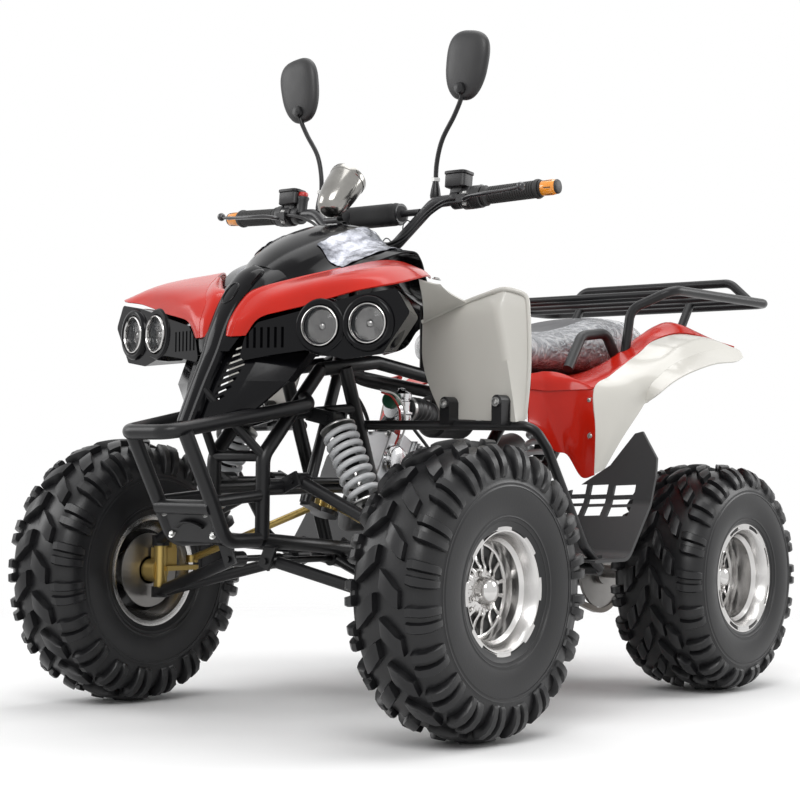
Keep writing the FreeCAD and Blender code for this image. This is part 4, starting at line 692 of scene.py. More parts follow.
side_rows = spots(
    ((285, 592, 452), (289, 604, 457), (291, 619, 461)), ((282, 600, 540), (298, 630, 532), (304, 663, 523)),
    ((268, 615, 623), (302, 668, 612), (318, 726, 596)), ((265, 676, 651), (302, 705, 645), (322, 737, 630)),
    ((262, 736, 678), (305, 754, 668), (328, 766, 654)), ((260, 800, 706), (308, 816, 699), (334, 815, 681)),
    ((258, 863, 735), (312, 880, 727), (345, 893, 706)), ((285, 947, 752), (326, 965, 743), (355, 985, 722)),
    ((352, 1036, 726), (362, 1038, 721), (368, 1036, 715)))
lip_edge = ((323, 730, 598), (350, 731, 618), (365, 761, 642), (380, 808, 664), (390, 886, 684), (387, 980, 693),
            (378, 1028, 704))
lip_rows = [[row[-1], Vector(p)] for row, p in zip(side_rows[2:], lip_edge)]
cover_rows = spots(
    ((180, 515, 622), (186, 505, 560), (194, 503, 552)), ((186, 535, 621), (194, 545, 560), (206, 565, 500)),
    ((194, 556, 620), (205, 575, 555), (218, 594, 490)), ((228, 592, 622), (240, 598, 548), (252, 594, 446)),
    ((267, 613, 623), (281, 600, 540), (284, 591, 450)))
deck_rows = spots(
    ((0, 600, 650), (120, 600, 648), (181, 606, 637), (266, 616, 626)),
    ((0, 700, 655), (125, 700, 656), (182, 700, 657), (263, 714, 671)),
    ((0, 800, 660), (140, 800, 660), (196, 800, 700), (259, 800, 708)),
    ((0, 870, 662), (150, 875, 664), (206, 885, 748), (258, 866, 738)),
    ((0, 950, 664), (155, 950, 680), (236, 946, 776), (284, 948, 755)),
    ((0, 1060, 664), (160, 1060, 672), (262, 1050, 742), (350, 1040, 729)))
# The console's top line as (y, z, half width), and its section as (share of the half width, drop)
console_line = [(-87, 824, 125), (-29, 865, 185), (39, 900, 230), (109, 921, 250), (144, 908, 245), (173, 870, 235),
                (221, 835, 215), (337, 802, 200), (472, 762, 200)]
console_cross = [(-0.80, -64), (-0.52, -50), (-0.34, -14), (0.0, 0), (0.34, -14), (0.52, -50), (0.80, -64)]


def whole_rows(rows):
    """Rows of the left half, from the middle outward, carried across to the other side."""
    return [[Vector((-p.x, p.y, p.z)) for p in row[:0:-1]] + row for row in rows]


def console_rows():
    return [[Vector((side * width, y, z + drop)) for side, drop in console_cross] for y, z, width in console_line]


def sheet(rows, across, along, wall=3.6):
    """A plastic sheet through coarse rows of places."""
    return Form().shell(refined(rows, across, along), wall)


def panel(name, form, slot, replaced=(), edge=0.9, smooth=50):
    make(name, form, slot, replaced=replaced, edge=edge, smooth=smooth)


def panels():
    panel("front_wings", sheet(wing_rows, 6, 6).both(), "body_red", ["front_trim"])
    flap = Form().shell(refined(flap_rows, 6, 5, folds=(2,)), 3.6, True).join(sheet(web_rows, 4, 4))
    for name, form in (("left", flap), ("right", flap.mirrored())):
        panel("front_flap_" + name, form, "body_white", ["front_fender_" + name], smooth=48)
    deck = sheet(whole_rows(deck_rows), 5, 6).join(sheet(cover_rows, 6, 6).both())
    panel("rear_fender_deck", deck, "body_red", ["rear_fender"])
    skin = sheet(side_rows, 6, 6).join(sheet(lip_rows, 4, 6, 3.2))
    panel("rear_side_skins", skin.both(), "body_white", ["rear_side_panels"])
    panel("console_cover", sheet(console_rows(), 5, 5), "cowl_black", ["console"])


panels()

# Headlamps

lamp_places = ((201, -140.6, 704), (287, -115.6, 707))
lamp_across = (Vector(lamp_places[1]) - Vector(lamp_places[0])).normalized()
lamp_way = Vector((lamp_across.y, -lamp_across.x, 0)).normalized()
lamp_share = 0.87
# Name, look, angle of the smooth faces, sides and profile of each part
lamp_parts = (
    ("ring", "bright_chrome", 60, 72,
     ((-6, 36), (3, 36), (6.0, 36.6), (7.6, 37.8), (7.2, 39.4), (5.0, 40.4), (1, 40.8), (-6, 40.6), (-6, 36))),
    ("bowl", "reflector", 60, 64,
     ((-38, 0), (-38, 9), (-34, 15), (-26, 23), (-16, 29), (-4, 33.2), (1, 34), (1, 36.4), (-10, 36), (-30, 26),
      (-40, 12), (-40, 0))),
    ("bulb", "bright_chrome", 50, 28,
     ((-36, 0), (-36, 7), (-24, 7), (-22, 10), (-12, 10.5), (-6, 8), (-3, 4), (-2.4, 0))))
lens_profile = ((8.6, 0), (8.2, 8), (6.6, 18), (3.4, 28), (1.4, 33.6), (-1.6, 33.4), (0.2, 24), (1.2, 12), (1.5, 0.0))


def headlamp(place, name, side):
    """A lamp's ring, bowl and bulb as pieces, and its lens as a form, all slimmer than the socket that holds them."""
    place = (side * place[0], place[1], place[2])
    way = (side * lamp_way.x, lamp_way.y, 0)

    def slim(profile, sides):
        return Form().turned([(along, radius * lamp_share) for along, radius in profile], place, way, sides)

    for part, look, smooth, sides, profile in lamp_parts:
        make("lamp_" + part + "_" + name, slim(profile, sides), "lamp_glass", look=look, smooth=smooth)
    return slim(lens_profile, 64)


for side, name in ((1, "left"), (-1, "right")):
    lenses = Form()
    for place, part in zip(lamp_places, ("inner_", "outer_")):
        lenses.join(headlamp(place, part + name, side))
    make("lamp_lenses_" + name, lenses, "lamp_glass", look="clear_lens", replaced=["headlamps_" + name], smooth=50)

# Saddle: black vinyl swollen by a cloth simulation, wrapped in loose clear film


saddle_bend = 2 / 2.6
# Place along the bike, half width, top and bottom
saddle_stations = [(474, 44, 712, 690), (482, 78, 733, 676), (510, 104, 752, 668), (560, 112, 748, 664),
                   (616, 116, 742, 664), (680, 122, 743, 664), (745, 130, 752, 662), (800, 136, 764, 662),
                   (860, 140, 780, 664), (920, 141, 791, 666), (975, 139, 795, 668), (1015, 132, 792, 670),
                   (1040, 116, 784, 676), (1051, 84, 768, 688), (1055, 44, 750, 704)]


def saddle_form(grow):
    """Rounded rings across the saddle, with a smooth run from each to the next."""
    rings = []
    for y, half, top, low in saddle_stations:
        tall, middle = (top + grow - low) / 2, (top + grow + low) / 2
        rings.append([Vector((x, y, middle + z)) for x, z in oval(36, half + grow, tall, (saddle_bend, saddle_bend))])
    return Form().skin([list(row) for row in zip(*[eased(column, 4) for column in zip(*rings)])])


def swollen(piece):
    """Cloth pressure, with no point moved further than a set distance."""
    furthest, frames = 7 * mm, 20
    remesh = piece.modifiers.new("remesh", "REMESH")
    remesh.mode = "VOXEL"
    remesh.voxel_size = 0.0055
    applied(piece)
    start = [v.co.copy() for v in piece.data.vertices]
    cloth = piece.modifiers.new("cloth", "CLOTH")
    cloth.settings.use_pressure = True
    cloth.settings.uniform_pressure_force = 4.0
    cloth.settings.effector_weights.gravity = 0.0
    cloth.settings.quality = 5
    for frame_number in range(1, frames + 1):
        bpy.context.scene.frame_set(frame_number)
    applied(piece)
    bpy.context.scene.frame_set(1)
    for vertex, place in zip(piece.data.vertices, start):
        step = vertex.co - place
        if step.length > furthest:
            vertex.co = place + step.normalized() * furthest


def seamed(pad):
    """A seam drawn in along the flanks, and a low dip across the top."""
    seam_reach, flank, dip_place, dip_reach = 5, 40, 706, 34
    for vertex in pad.data.vertices:
        x, y, z = vertex.co / mm
        y += middle_y
        off_seam = abs(z - 690 - (y - 500) * 0.03)
        if off_seam < seam_reach and abs(x) > flank:
            vertex.co.x -= math.copysign((seam_reach - off_seam) * 0.5 * mm, x)
        dip = max(0.0, 1 - abs(y - dip_place) / dip_reach)
        if z > 715:
            vertex.co.z -= 2.0 * dip * dip * mm


def applied(piece):
    """The piece's modifiers made part of its mesh."""
    shown = bpy.context.evaluated_depsgraph_get()
    shown.update()
    mesh = bpy.data.meshes.new_from_object(piece.evaluated_get(shown))
    piece.modifiers.clear()
    piece.data = mesh


def creased(film):
    """Short folds at random places, each a narrow ridge or dent."""
    crease = random.Random(7)
    count, half_width, height = 90, 0.007, 0.0022
    folds = []
    for _ in range(count):
        middle = Vector((crease.uniform(-150, 150), crease.uniform(480, 1060), crease.uniform(660, 800)))
        way = Vector((crease.uniform(-1, 1), crease.uniform(-1, 1), crease.uniform(-0.5, 0.5))).normalized()
        folds.append((at(*middle), way, crease.uniform(0.03, 0.09), crease.uniform(-1, 1)))
    moves = []
    for vertex in film.data.vertices:
        push = 0.0
        for middle, way, reach, lift in folds:
            off = vertex.co - middle
            if off.length_squared > reach * reach:
                continue
            along = off.dot(way)
            beside = (off - way * along).length
            push += lift * max(0.0, 1 - beside / half_width) * (1 - abs(along) / reach)
        moves.append(vertex.normal * push * height)
    for vertex, move in zip(film.data.vertices, moves):
        vertex.co += move


def saddle():
    pad = bare_piece("saddle_pad", saddle_form(-3.0))
    swollen(pad)
    seamed(pad)
    round_off = pad.modifiers.new("round", "SUBSURF")
    round_off.levels = round_off.render_levels = 1
    shaded(pad, 60)
    carried(pad, "saddle_vinyl", "chassis", ["saddle"])
    film = bare_piece("saddle_film", saddle_form(4.0))
    divide = film.modifiers.new("divide", "SUBSURF")
    divide.levels = divide.render_levels = 2
    applied(film)
    creased(film)
    shaded(film, 60)
    carried(film, "saddle_vinyl", "chassis", (), "crinkled_film")


saddle()

# Front and rear suspension springs


def spring(name, top, foot, across, wire, coil, rod, tight):
    """Damper with a real coil: close turns at the top, open ones below."""
    top, foot, across = Vector(top), Vector(foot), Vector(across)
    length = (top - foot).length
    way = (top - foot).normalized()
    side = (across - way * across.dot(way)).normalized()
    up = way.cross(side)
    low, high = 0.21 * length, 0.87 * length
    line = []
    turns, steps = 8, 26
    for i in range(turns * steps + 1):
        t = i / (turns * steps)
        rise = min(max(t + tight * math.sin(math.pi * t) * (0.5 - t * 0.2), 0.0), 1.0)
        a = 2 * math.pi * turns * t
        line.append(foot + way * (low + (high - low) * rise) + (side * math.cos(a) + up * math.sin(a)) * (coil - wire))
    make(name + "_coil", Form().tube(line, wire, 12), "spring_grey", replaced=[name], smooth=60)
    can = Form().turned([(0.5 * length, 0), (0.5 * length, rod * 1.5), (0.94 * length, rod * 1.5), (0.95 * length, rod),
                         (length, rod * 0.9), (length, 0)], foot, way, 28)
    can.turned([(0.0, 0), (0.0, rod * 0.9), (0.1 * length, rod), (0.16 * length, rod * 1.25),
                (0.30 * length, rod * 1.25), (0.31 * length, 0)], foot, way, 28)
    below, above = low - wire, high + wire
    seats = Form().turned([(below - 5, rod), (below - 5, coil - 3), (below - 3, coil), (below, coil), (below, rod)],
                          foot, way, 40)
    seats.turned([(above, rod), (above, coil), (above + 3, coil), (above + 6, coil - 5), (above + 8, rod)],
                 foot, way, 40)
    eyes = Form()
    for place in (top, foot):
        eyes.turned(sleeve(0, 26, 6, 13), place - across * 13, across, 32)
    shaft = Form().turned(drum(0.30 * length, 0.52 * length, rod * 0.55), foot, way, 24)
    for part, form, look, edge in (("_rod", shaft, "bright_chrome", 0.0), ("_damper", can, "frame_black", 0.5),
                                   ("_seats", seats, "bolt_zinc", 0.4), ("_eyes", eyes, "frame_black", 0.6)):
        make(name + part, form, "spring_grey", look=look, edge=edge)


for side, name in ((1, "left"), (-1, "right")):
    spring("front_shock_" + name, (side * 110, 3, 549), (side * 212, -5, 366), (0, 1, 0), 5.6, 33, 9, 0.10)
spring("rear_shock", (0, 838, 603), (0, 775, 305), (1, 0, 0), 6.5, 37, 10, 0.08)

# Handlebar, grips, levers, mirrors and dial: everything here turns with the steering

bar_end = Vector((376, 265, 975))
bar_back = (Vector((150, 241, 965)) - bar_end).normalized()
tank_way = (0, 0.1, 1)


def on_bar(side, along, drop=(0, 0, 0)):
    place = bar_end + bar_back * along + Vector(drop)
    return Vector((side * place.x, place.y, place.z))


def bar_way(side):
    return Vector((side * bar_back.x, bar_back.y, bar_back.z))


def grip_form(side):
    """A rubber grip with a collar at each end and ribs between."""
    last_rib, rib_pitch = 106, 5.0
    profile = [(0, 11), (0, 17.5), (3, 18.4), (7, 18.2), (9, 16.6)]
    along = 11.0
    while along < last_rib:
        profile += [(along, 15.2), (along + 0.8, 16.6), (along + 3.4, 16.6), (along + 4.2, 15.2)]
        along += rib_pitch
    profile += [(109, 15.4), (111, 17), (113, 19.4), (118, 19.6), (119.5, 18), (119.5, 11), (0, 11)]
    return Form().turned(profile, on_bar(side, 0), bar_way(side), 40)


def rounded_box(middle, size, corner):
    """A box with a rounded plan, its length along the bar and its top tipped a little."""
    way = Vector(tank_way).normalized()
    length = (Vector((1, 0, 0)) - way * way.x).normalized()
    depth = way.cross(length)
    rings = []
    for share, grow in ((-0.5, 0.9), (-0.44, 1.0), (0.40, 1.0), (0.47, 0.97), (0.5, 0.88)):
        rings.append([middle + length * x + depth * y + way * share * size[2]
                      for x, y in oval(28, size[0] / 2 * grow, size[1] / 2 * grow, (corner, corner))])
    return Form().skin(rings)


def lever_form(side):
    start = on_bar(side, 146, (0, -16, -6))
    line = eased([start, start + Vector((side * 6, -16, -1)), on_bar(side, 118, (0, -44, -5)),
                  on_bar(side, 84, (0, -54, -6)), on_bar(side, 44, (0, -57, -6)), on_bar(side, 10, (0, -61, -5)),
                  on_bar(side, 0, (0, -62, -3))], 7)
    radii = [6.2 - 2.0 * i / (len(line) - 1) for i in range(len(line))]
    knob = [(-8.4, 0), (-7.6, 3.6), (-5.4, 6.4), (-2.4, 8.2), (0.6, 8.4), (4, 7.4), (6.6, 5.2), (8.4, 0)]
    return Form().tube(line, radii, 14, flat=0.72).turned(knob, line[-1], (side, 0, 0), 26)


def switch_form(side):
    profile = [(121, 11.2), (121, 19), (123, 21.4), (140, 22), (141, 21.0), (142.4, 21.0), (143.4, 22), (160, 21.4),
               (163, 19.5), (165, 15), (165, 11.2), (121, 11.2)]
    perch = [(168, 11.2), (168, 17.5), (170, 18.6), (184, 18.6), (186, 17.5), (186, 11.2), (168, 11.2)]
    form = Form().turned(profile, on_bar(side, 0), bar_way(side), 40)
    form.turned(perch, on_bar(side, 0), bar_way(side), 36)
    return form.block(on_bar(side, 150, (0, -20, -4)), (22, 22, 15))


def controls():
    grips, levers, boxes, lids, tanks, screws, pivots, buttons = [Form() for _ in range(8)]
    for side in (-1, 1):
        grips.join(grip_form(side))
        levers.join(lever_form(side))
        boxes.join(switch_form(side))
        place = on_bar(side, 172 if side > 0 else 158, (0, -4, 33))
        tanks.join(rounded_box(place, (47, 34, 26), 0.36))
        tanks.join(rounded_box(place - Vector((0, 0, 17)), (30, 22, 14), 0.5))
        lids.join(rounded_box(place + Vector((0, 1.5, 15)), (50, 37, 6), 0.36))
        for x in (-18, 18):
            screws.turned([(0, 0), (0, 3.6), (1.6, 3.2), (2.0, 2.4), (2.0, 0)], place + Vector((x, 2, 18)),
                          tank_way, 18)
        for rise, up in ((5, 1), (-12, -1)):
            pivots.bolt(on_bar(side, 148, (0, -19, rise)), (0, 0, up), 4.6, 5)
        for along, turn in ((130, 0.4), (152, 0.9)):
            way = Vector((0, math.sin(turn), math.cos(turn)))
            buttons.turned([(0, 0), (0, 5), (4, 5), (5, 4), (5.4, 0)], on_bar(side, along) + way * 19.5, way, 20)
    stop = (on_bar(-1, 186, (0, 2, 36)), (0, 0.15, 1), 28)
    stalk = Form().turned([(-34, 0), (-34, 11), (-8, 11), (-2, 13), (0, 12.5), (0, 0)], *stop)
    knob = Form().turned([(0, 0), (0, 9), (3, 10), (7, 10), (9.5, 8.6), (10.5, 5), (10.8, 0)], *stop)
    make("bar_grips", grips, "grip_rubber", "steering", ["grips"], smooth=40)
    for name, form, replaced, look, edge, smooth in (
            ("brake_levers", levers, ["controls"], "lever_black", 0.0, 60), ("switch_boxes", boxes, (), None, 0.7, 35),
            ("fluid_tanks", tanks, (), None, 0.5, 50), ("tank_lids", lids, (), "frame_black", 0.5, 50),
            ("tank_screws", screws, (), "bolt_zinc", 0.0, 38), ("lever_pivots", pivots, (), "bolt_zinc", 0.0, 38),
            ("stop_switch", stalk, (), None, 0.0, 40), ("stop_button", knob, (), "button_red", 0.0, 45),
            ("switch_buttons", buttons, (), "strap_grey", 0.0, 45)):
        make(name, form, "handle_black", "steering", replaced, look, edge, smooth)


def indicators():
    lens, ends = Form(), Form()
    for side in (-1, 1):
        place, way = on_bar(side, 0), -bar_way(side)
        lens.turned([(1, 0), (1, 11), (3, 13.4), (5, 13.4), (7, 14.4), (26, 14.8), (31, 13.6), (34, 13.4), (34, 12),
                     (34, 0)], place, way, 36)
        ends.turned([(33, 0), (33, 13.2), (36, 13.6), (38.4, 12.4), (39.6, 9), (40, 0)], place, way, 36)
        ends.turned([(0.6, 0), (0.6, 15.4), (4, 15.6), (5, 14), (5, 0)], place, way, 36)
        for a in angles(6, 0.4):
            around = Vector((0, math.sin(a), math.cos(a)))
            ends.block(on_bar(side, -19) + around * 14.2, (20, 1.6, 1.6), Matrix.Rotation(-a, 3, "X"))
    make("bar_indicators", lens, "lens_amber", "steering", ["indicators"], smooth=40)
    make("indicator_rims", ends, "lens_amber", "steering", look="handle_black", smooth=40)


def mirror_head(side):
    """The rings of a mirror's housing and of its glass."""
    centre = Vector((side * 211, 255, 1222))
    tilt = Matrix.Rotation(math.radians(side * 9), 3, "Y")
    sides = 56

    def ring(grow, y):
        return [centre + tilt @ Vector((x * (1 + 0.16 * math.sin(a)) * grow * side, y, z * grow))
                for a, (x, z) in zip(angles(sides), oval(sides, 47, 66, (0.72, 0.80)))]

    housing = [ring(0.94, 6.6), ring(0.985, 7.6), ring(1.0, 5), ring(1.0, 1), ring(0.965, -3.5), ring(0.87, -7.2),
               ring(0.68, -9.8), ring(0.4, -11.2), ring(0.02, -11.6)]
    return housing, [ring(0.93, 6.9), ring(0.92, 7.3), ring(0.02, 7.3)]


def mirrors():
    housings, faces, stems, nuts = [Form() for _ in range(4)]
    stem_way = (0, 0.02, 1)
    stem_line = ((145, 249, 975), (145, 250, 992), (146, 251, 1040), (158, 252, 1085), (186, 252, 1128),
                 (203, 251, 1160), (205, 249, 1178))
    for side in (-1, 1):
        housing, face = mirror_head(side)
        housings.skin(housing)
        faces.skin(face)
        stems.tube(eased([(side * x, y, z) for x, y, z in stem_line], 8), 4.6, 16)
        stems.turned([(0, 0), (0, 10), (5, 10.5), (16, 9), (30, 6), (34, 5.4), (34, 0)], (side * 145, 249, 974),
                     stem_way, 24)
        nuts.turned(drum(0, 7, 8), (side * 145, 250, 1006), stem_way, 6)
        stems.turned([(0, 0), (0, 9), (4, 11.5), (10, 12), (16, 10), (18, 0)], (side * 205, 254, 1176),
                     (0, -1, 0.1), 24)
    for name, form, replaced, look, smooth in (
            ("mirror_shells", housings, ["mirrors"], None, 50), ("mirror_glasses", faces, (), "mirror_glass", 50),
            ("mirror_stems", stems, (), "frame_black", 50), ("mirror_nuts", nuts, (), "bolt_zinc", 38)):
        make(name, form, "handle_black", "steering", replaced, look, 0.0, smooth)


def dial():
    low, high = Vector((0, 99, 942)), Vector((0, 166, 1016))
    way = (high - low).normalized()
    length = (high - low).length
    across = Vector((1, 0, 0))
    up = way.cross(across)
    turn = Matrix((across, up, way)).transposed()

    def mark(form, degrees, lift, reach, size):
        """A flat mark over the face, that points out from its middle."""
        a = math.radians(degrees)
        out = across * math.sin(a) - up * math.cos(a)
        form.block(low + way * (length + lift) + out * reach, size, turn @ Matrix.Rotation(a, 3, "Z"))

    cup = Form().turned([(-1, 0), (0, 10), (2, 16), (7, 21), (16, 26), (30, 30), (46, 33), (62, 34.6), (80, 35.2),
                         (length - 12, 35.2), (length - 11, 36.4), (length - 3, 36.6), (length, 35.6), (length, 32.4),
                         (length - 6, 31.6), (length - 6, 0)], low, way, 72)
    face = Form().turned(drum(length - 5.9, length - 4.8, 31.4), low, way, 64)
    marks, needle = Form(), Form()
    steps, sweep = 24, 270
    for i in range(steps + 1):
        size, wide = (6, 1.1) if i % 4 == 0 else (3, 0.6)
        mark(marks, -sweep / 2 + sweep * i / steps, -4.6, 27 - size / 2, (wide, size, 0.5))
    mark(needle, -120, -3.6, 10, (1.4, 24, 0.6))
    needle.turned([(length - 4.6, 0), (length - 4.6, 3.4), (length - 2.6, 3), (length - 2.4, 0)], low, way, 20)
    cover = Form().turned([(length - 2, 0), (length - 2, 32), (length - 0.6, 32), (length + 0.2, 20),
                           (length + 0.6, 0)], low, way, 56)
    stay = Form().tube(eased([(0, 135, 960), (0, 160, 925), (0, 200, 900), (0, 222, 888)], 6), 7, 14)
    stay.turned(drum(0, 14, 12), (-7, 150, 940), (1, 0, 0), 24)
    for name, form, replaced, look, smooth in (
            ("dial_cup", cup, ["speedometer"], "dial_chrome", 40), ("dial_face", face, (), "dial_face", 38),
            ("dial_marks", marks, (), "wire_white", 38), ("dial_needle", needle, (), "wire_red", 38),
            ("dial_glass", cover, (), "clear_lens", 50), ("dial_stay", stay, (), "frame_black", 50)):
        make(name, form, "bright_chrome", "steering", replaced, look, 0.0, smooth)


def bar_pad():
    """A soft roll round the crossbar, with drawn-in ends and two seams."""
    half_length, steps = 76, 28
    rings = []
    for i in range(steps + 1):
        x = -half_length + 2 * half_length * i / steps
        end = max(0.0, (abs(x) - 66) / 10)
        swell = 1 - 0.35 * end * end
        seam = 0.93 if abs(abs(x) - 60) < 3 else 1.0
        rings.append([Vector((x, 235 + y * swell * seam, 948 + z * swell * seam))
                      for y, z in oval(32, 22.5, 21.5, (0.7, 0.7))])
    pad = make("crossbar_pad", Form().skin(rings), "bar_black", "steering", look="pad_cloth", smooth=60)


def cables():
    """Sheaths tied along the bar, which end beside the column."""
    form, ties = Form(), Form()
    for side, shift in ((-1, 0), (1, 0), (1, 7)):
        form.tube(eased([on_bar(side, 160, (0, -22, -2 - shift)), on_bar(side, 190, (0, -24, -4 - shift)),
                         (side * 140, 226, 942 - shift), (side * 96, 214, 900 - shift), (side * 48, 208, 884 - shift),
                         (side * 20, 206, 872 - shift), (side * 12, 200, 846)], 8), 3.1, 10)
    for side in (-1, 1):
        for x, y, z in ((96, 227, 916), (52, 219, 884)):
            ties.tube([(side * x, y + 15 * math.sin(a), z + 17 * math.cos(a)) for a in angles(20)], 1.2, 6, closed=True)
    make("bar_cables", form, "bar_black", "steering", look="hose_black", smooth=60)
    make("cable_ties", ties, "bar_black", "steering", look="handle_black", smooth=60)


controls()
indicators()
mirrors()
dial()
bar_pad()
cables()

# Engine and carburettor

crank = Vector((0, 415, 385))
head = Vector((0, 246.5, 475))
barrel_way = (head - crank).normalized()
barrel_rise = Vector((0, 0.471, 0.882))


def across_block(form, start, length, half_x, half_rise):
    """A block square to the barrel, from a distance along it."""
    turn = Matrix((Vector((1, 0, 0)), barrel_rise, barrel_way)).transposed()
    return form.block(crank + barrel_way * (start + length / 2), (2 * half_x, 2 * half_rise, length), turn)


def engine_piece(name, form, look=None, edge=0.0, smooth=38.0, replaced=()):
    """A piece in the engine's slot, with a wider rounding where the castings are heavy."""
    make(name, form, "engine_alloy", "chassis", replaced, look, edge, smooth, 3 if edge >= 4 else 2)


def engine():
    left, right = (1, 0, 0), (-1, 0, 0)
    case = Form()
    for low, high, outline in (
            (-84, 32, ((355, 292), (492, 292), (492, 420), (476, 440), (400, 468), (350, 452), (331, 420), (331, 345))),
            (31, 82, ((355, 296), (392, 296), (398, 330), (392, 420), (380, 462), (350, 452), (331, 420), (331, 345))),
            (-88, -80, ((340, 340), (392, 340), (396, 400), (388, 440), (345, 440), (336, 410)))):
        case.prism([(low, y, z) for y, z in outline], (high - low, 0, 0))
    engine_piece("engine_case", case, edge=5.0, smooth=30, replaced=["engine"])
    engine_piece("engine_barrel", across_block(Form(), 60, 104, 50, 50), "engine_dark", 3)
    fins, top = Form(), Form()
    fin_count, fin_pitch, fin_wall = 9, 8.6, 2.6
    for i in range(fin_count):
        across_block(fins, 84 + i * fin_pitch, fin_wall, 62, 62)
    engine_piece("engine_fins", fins, edge=0.9)
    for block in ((160, 34, 55, 58), (194, 26, 50, 50), (150, 10, 58, 61)):
        across_block(top, *block)
    engine_piece("engine_head", top, edge=4.0, smooth=30)
    covers = Form()
    covers.turned([(50, 0), (50, 31), (58, 31), (60, 29), (62, 26), (64, 25.5), (66, 22), (67, 12), (67.5, 0)],
                  head, left, 56)
    covers.turned([(80, 0), (80, 64), (94, 64), (98, 61), (99, 56), (100, 54), (103, 51), (104, 40), (104, 0)],
                  crank, right, 72)
    covers.turned([(80, 0), (80, 34), (94, 34), (98, 31), (99, 26), (101, 20), (101.5, 0)], (0, 362, 400), left, 56)
    for rise in (-1, 1):
        covers.turned([(48, 0), (48, 20), (60, 20), (62, 18), (62, 12), (68, 12), (69, 10), (69, 0)],
                      head, barrel_rise * rise, 28)
    engine_piece("engine_covers", covers, "cover_polished", 0.8, 40)
    bolts = Form()
    for a in angles(3, 0.5):
        bolts.bolt(head + Vector((60, math.cos(a) * 27, math.sin(a) * 27)), left, 3.4)
    for a in angles(9):
        bolts.bolt(crank + Vector((-94, math.cos(a) * 59, math.sin(a) * 59)), right, 3.6)
    for x, way, places in ((82, left, ((345, 330), (392, 310), (352, 446), (384, 452))),
                           (-84, right, ((372, 305), (430, 300), (480, 306), (484, 410), (440, 446)))):
        for y, z in places:
            bolts.bolt((x, y, z), way, 4)
    for x in (-42, 42):
        for rise in (-42, 42):
            bolts.bolt(crank + barrel_way * 220 + Vector((x, 0, 0)) + barrel_rise * rise, barrel_way, 5.4)
    engine_piece("engine_bolts", bolts, "bolt_zinc")
    ring = []
    for i, a in enumerate(angles(60)):
        r = (25, 30, 30, 28, 25)[i % 5]
        ring.append((57, 452.6 + r * math.cos(a), 340 + r * math.sin(a)))
    sprocket = Form().prism(ring, (6, 0, 0))
    sprocket.turned([(30, 0), (30, 13), (66, 13), (67, 11), (67, 0)], (0, 452.6, 340), left, 32)
    engine_piece("drive_sprocket", sprocket, "axle_steel", 0.5, 30)


def carburettor():
    place = Vector((35, 289, 575))
    back, up = (0, 1, 0), (0, 0, 1)
    metal = Form()
    metal.turned([(-38, 0), (-38, 9), (-36, 15), (-30, 19), (-12, 20.5), (-10, 23), (-6, 23), (-5, 19), (14, 19),
                  (16, 17), (20, 17), (20, 0)], place, up, 44)
    metal.turned([(-34, 0), (-34, 18), (-30, 18), (-28, 15.5), (28, 15.5), (30, 19), (34, 19), (34, 0)],
                 place, back, 40)
    metal.turned([(18, 0), (18, 19), (21, 20), (30, 20), (33, 16), (36, 9), (40, 8), (42, 0)], place, up, 32)
    for a in (0.6, 2.2, 3.8, 5.4):
        metal.bolt(place + Vector((math.cos(a) * 20, math.sin(a) * 20, -8)), (0, 0, -1), 2.6, 4)
    engine_piece("carburettor_body", metal, "cover_polished", 0.5, 40, ["carburettor"])
    neck, cap_way = place + Vector((20, -50, 14)), (0.25, -1, 0.1)
    cap = Form().turned([(0, 0), (0, 14), (3, 16), (17, 16), (20, 14), (21, 9), (21, 0)], neck, cap_way, 32)
    engine_piece("fuel_cap", cap.turned(drum(-26, 2, 7), neck, cap_way, 20), "cap_green", 0.8)
    inlet = Form().tube(eased([(0, 262, 512), (4, 274, 532), (18, 282, 556), (35, 282, 575)], 8), 17.0, 28)
    engine_piece("inlet_neck", inlet, "hose_black", smooth=60)
    hose = eased([(35, 300, 575), (35, 324, 576), (32, 352, 574), (20, 384, 570), (4, 410, 566), (0, 428, 565)], 8)
    ribs = [22.5 + (1.6 if i % 4 < 2 else 0.0) for i in range(len(hose))]
    engine_piece("air_hose", Form().tube(hose, ribs, 32), "hose_black", smooth=60)
    can = Form().turned([(-27, 0), (-27, 38), (-22, 43.5), (60, 43.5), (62, 45), (68, 45), (70, 42), (71, 0)],
                        (0, 452.6, 565), back, 48)
    engine_piece("air_box", can, "handle_black", 1.0)
    clips = Form()
    for x, y, z, r in ((35, 306, 575.5, 24.6), (1, 420, 565.5, 26)):
        clips.turned(sleeve(-4, 4, r - 1, r + 1.2), (x, y, z), back, 40)
        clips.block((x, y, z + r + 3), (8, 7, 6))
    engine_piece("hose_clips", clips, "bolt_zinc", 0.4)
    for name, look, sides, lines in (
            ("engine_wire_red", "wire_red", 8,
             ((2.0, ((66, 190, 604), (72, 214, 596), (76, 232, 570), (70, 240, 530), (60, 240, 506))),)),
            ("engine_wire_pale", "wire_white", 8,
             ((2.0, ((66, 186, 608), (78, 216, 600), (84, 236, 574), (78, 246, 536), (62, 246, 508))),)),
            ("engine_pipes", "hose_black", 10,
             ((3.4, ((-20, 172, 648), (0, 200, 624), (26, 244, 612), (35, 272, 608), (35, 284, 600))),
              (4.0, ((-60, 190, 640), (-40, 240, 600), (-24, 256, 556), (-10, 236, 532))),
              (3.2, ((52, 290, 550), (64, 300, 530), (70, 330, 500), (72, 352, 470), (66, 360, 452)))))):
        form = Form()
        for radius, line in lines:
            form.tube(eased(line, 8), radius, sides)
        engine_piece(name, form, look, smooth=60)


engine()
carburettor()

# Small fittings on the bodywork, bumper and foot guards


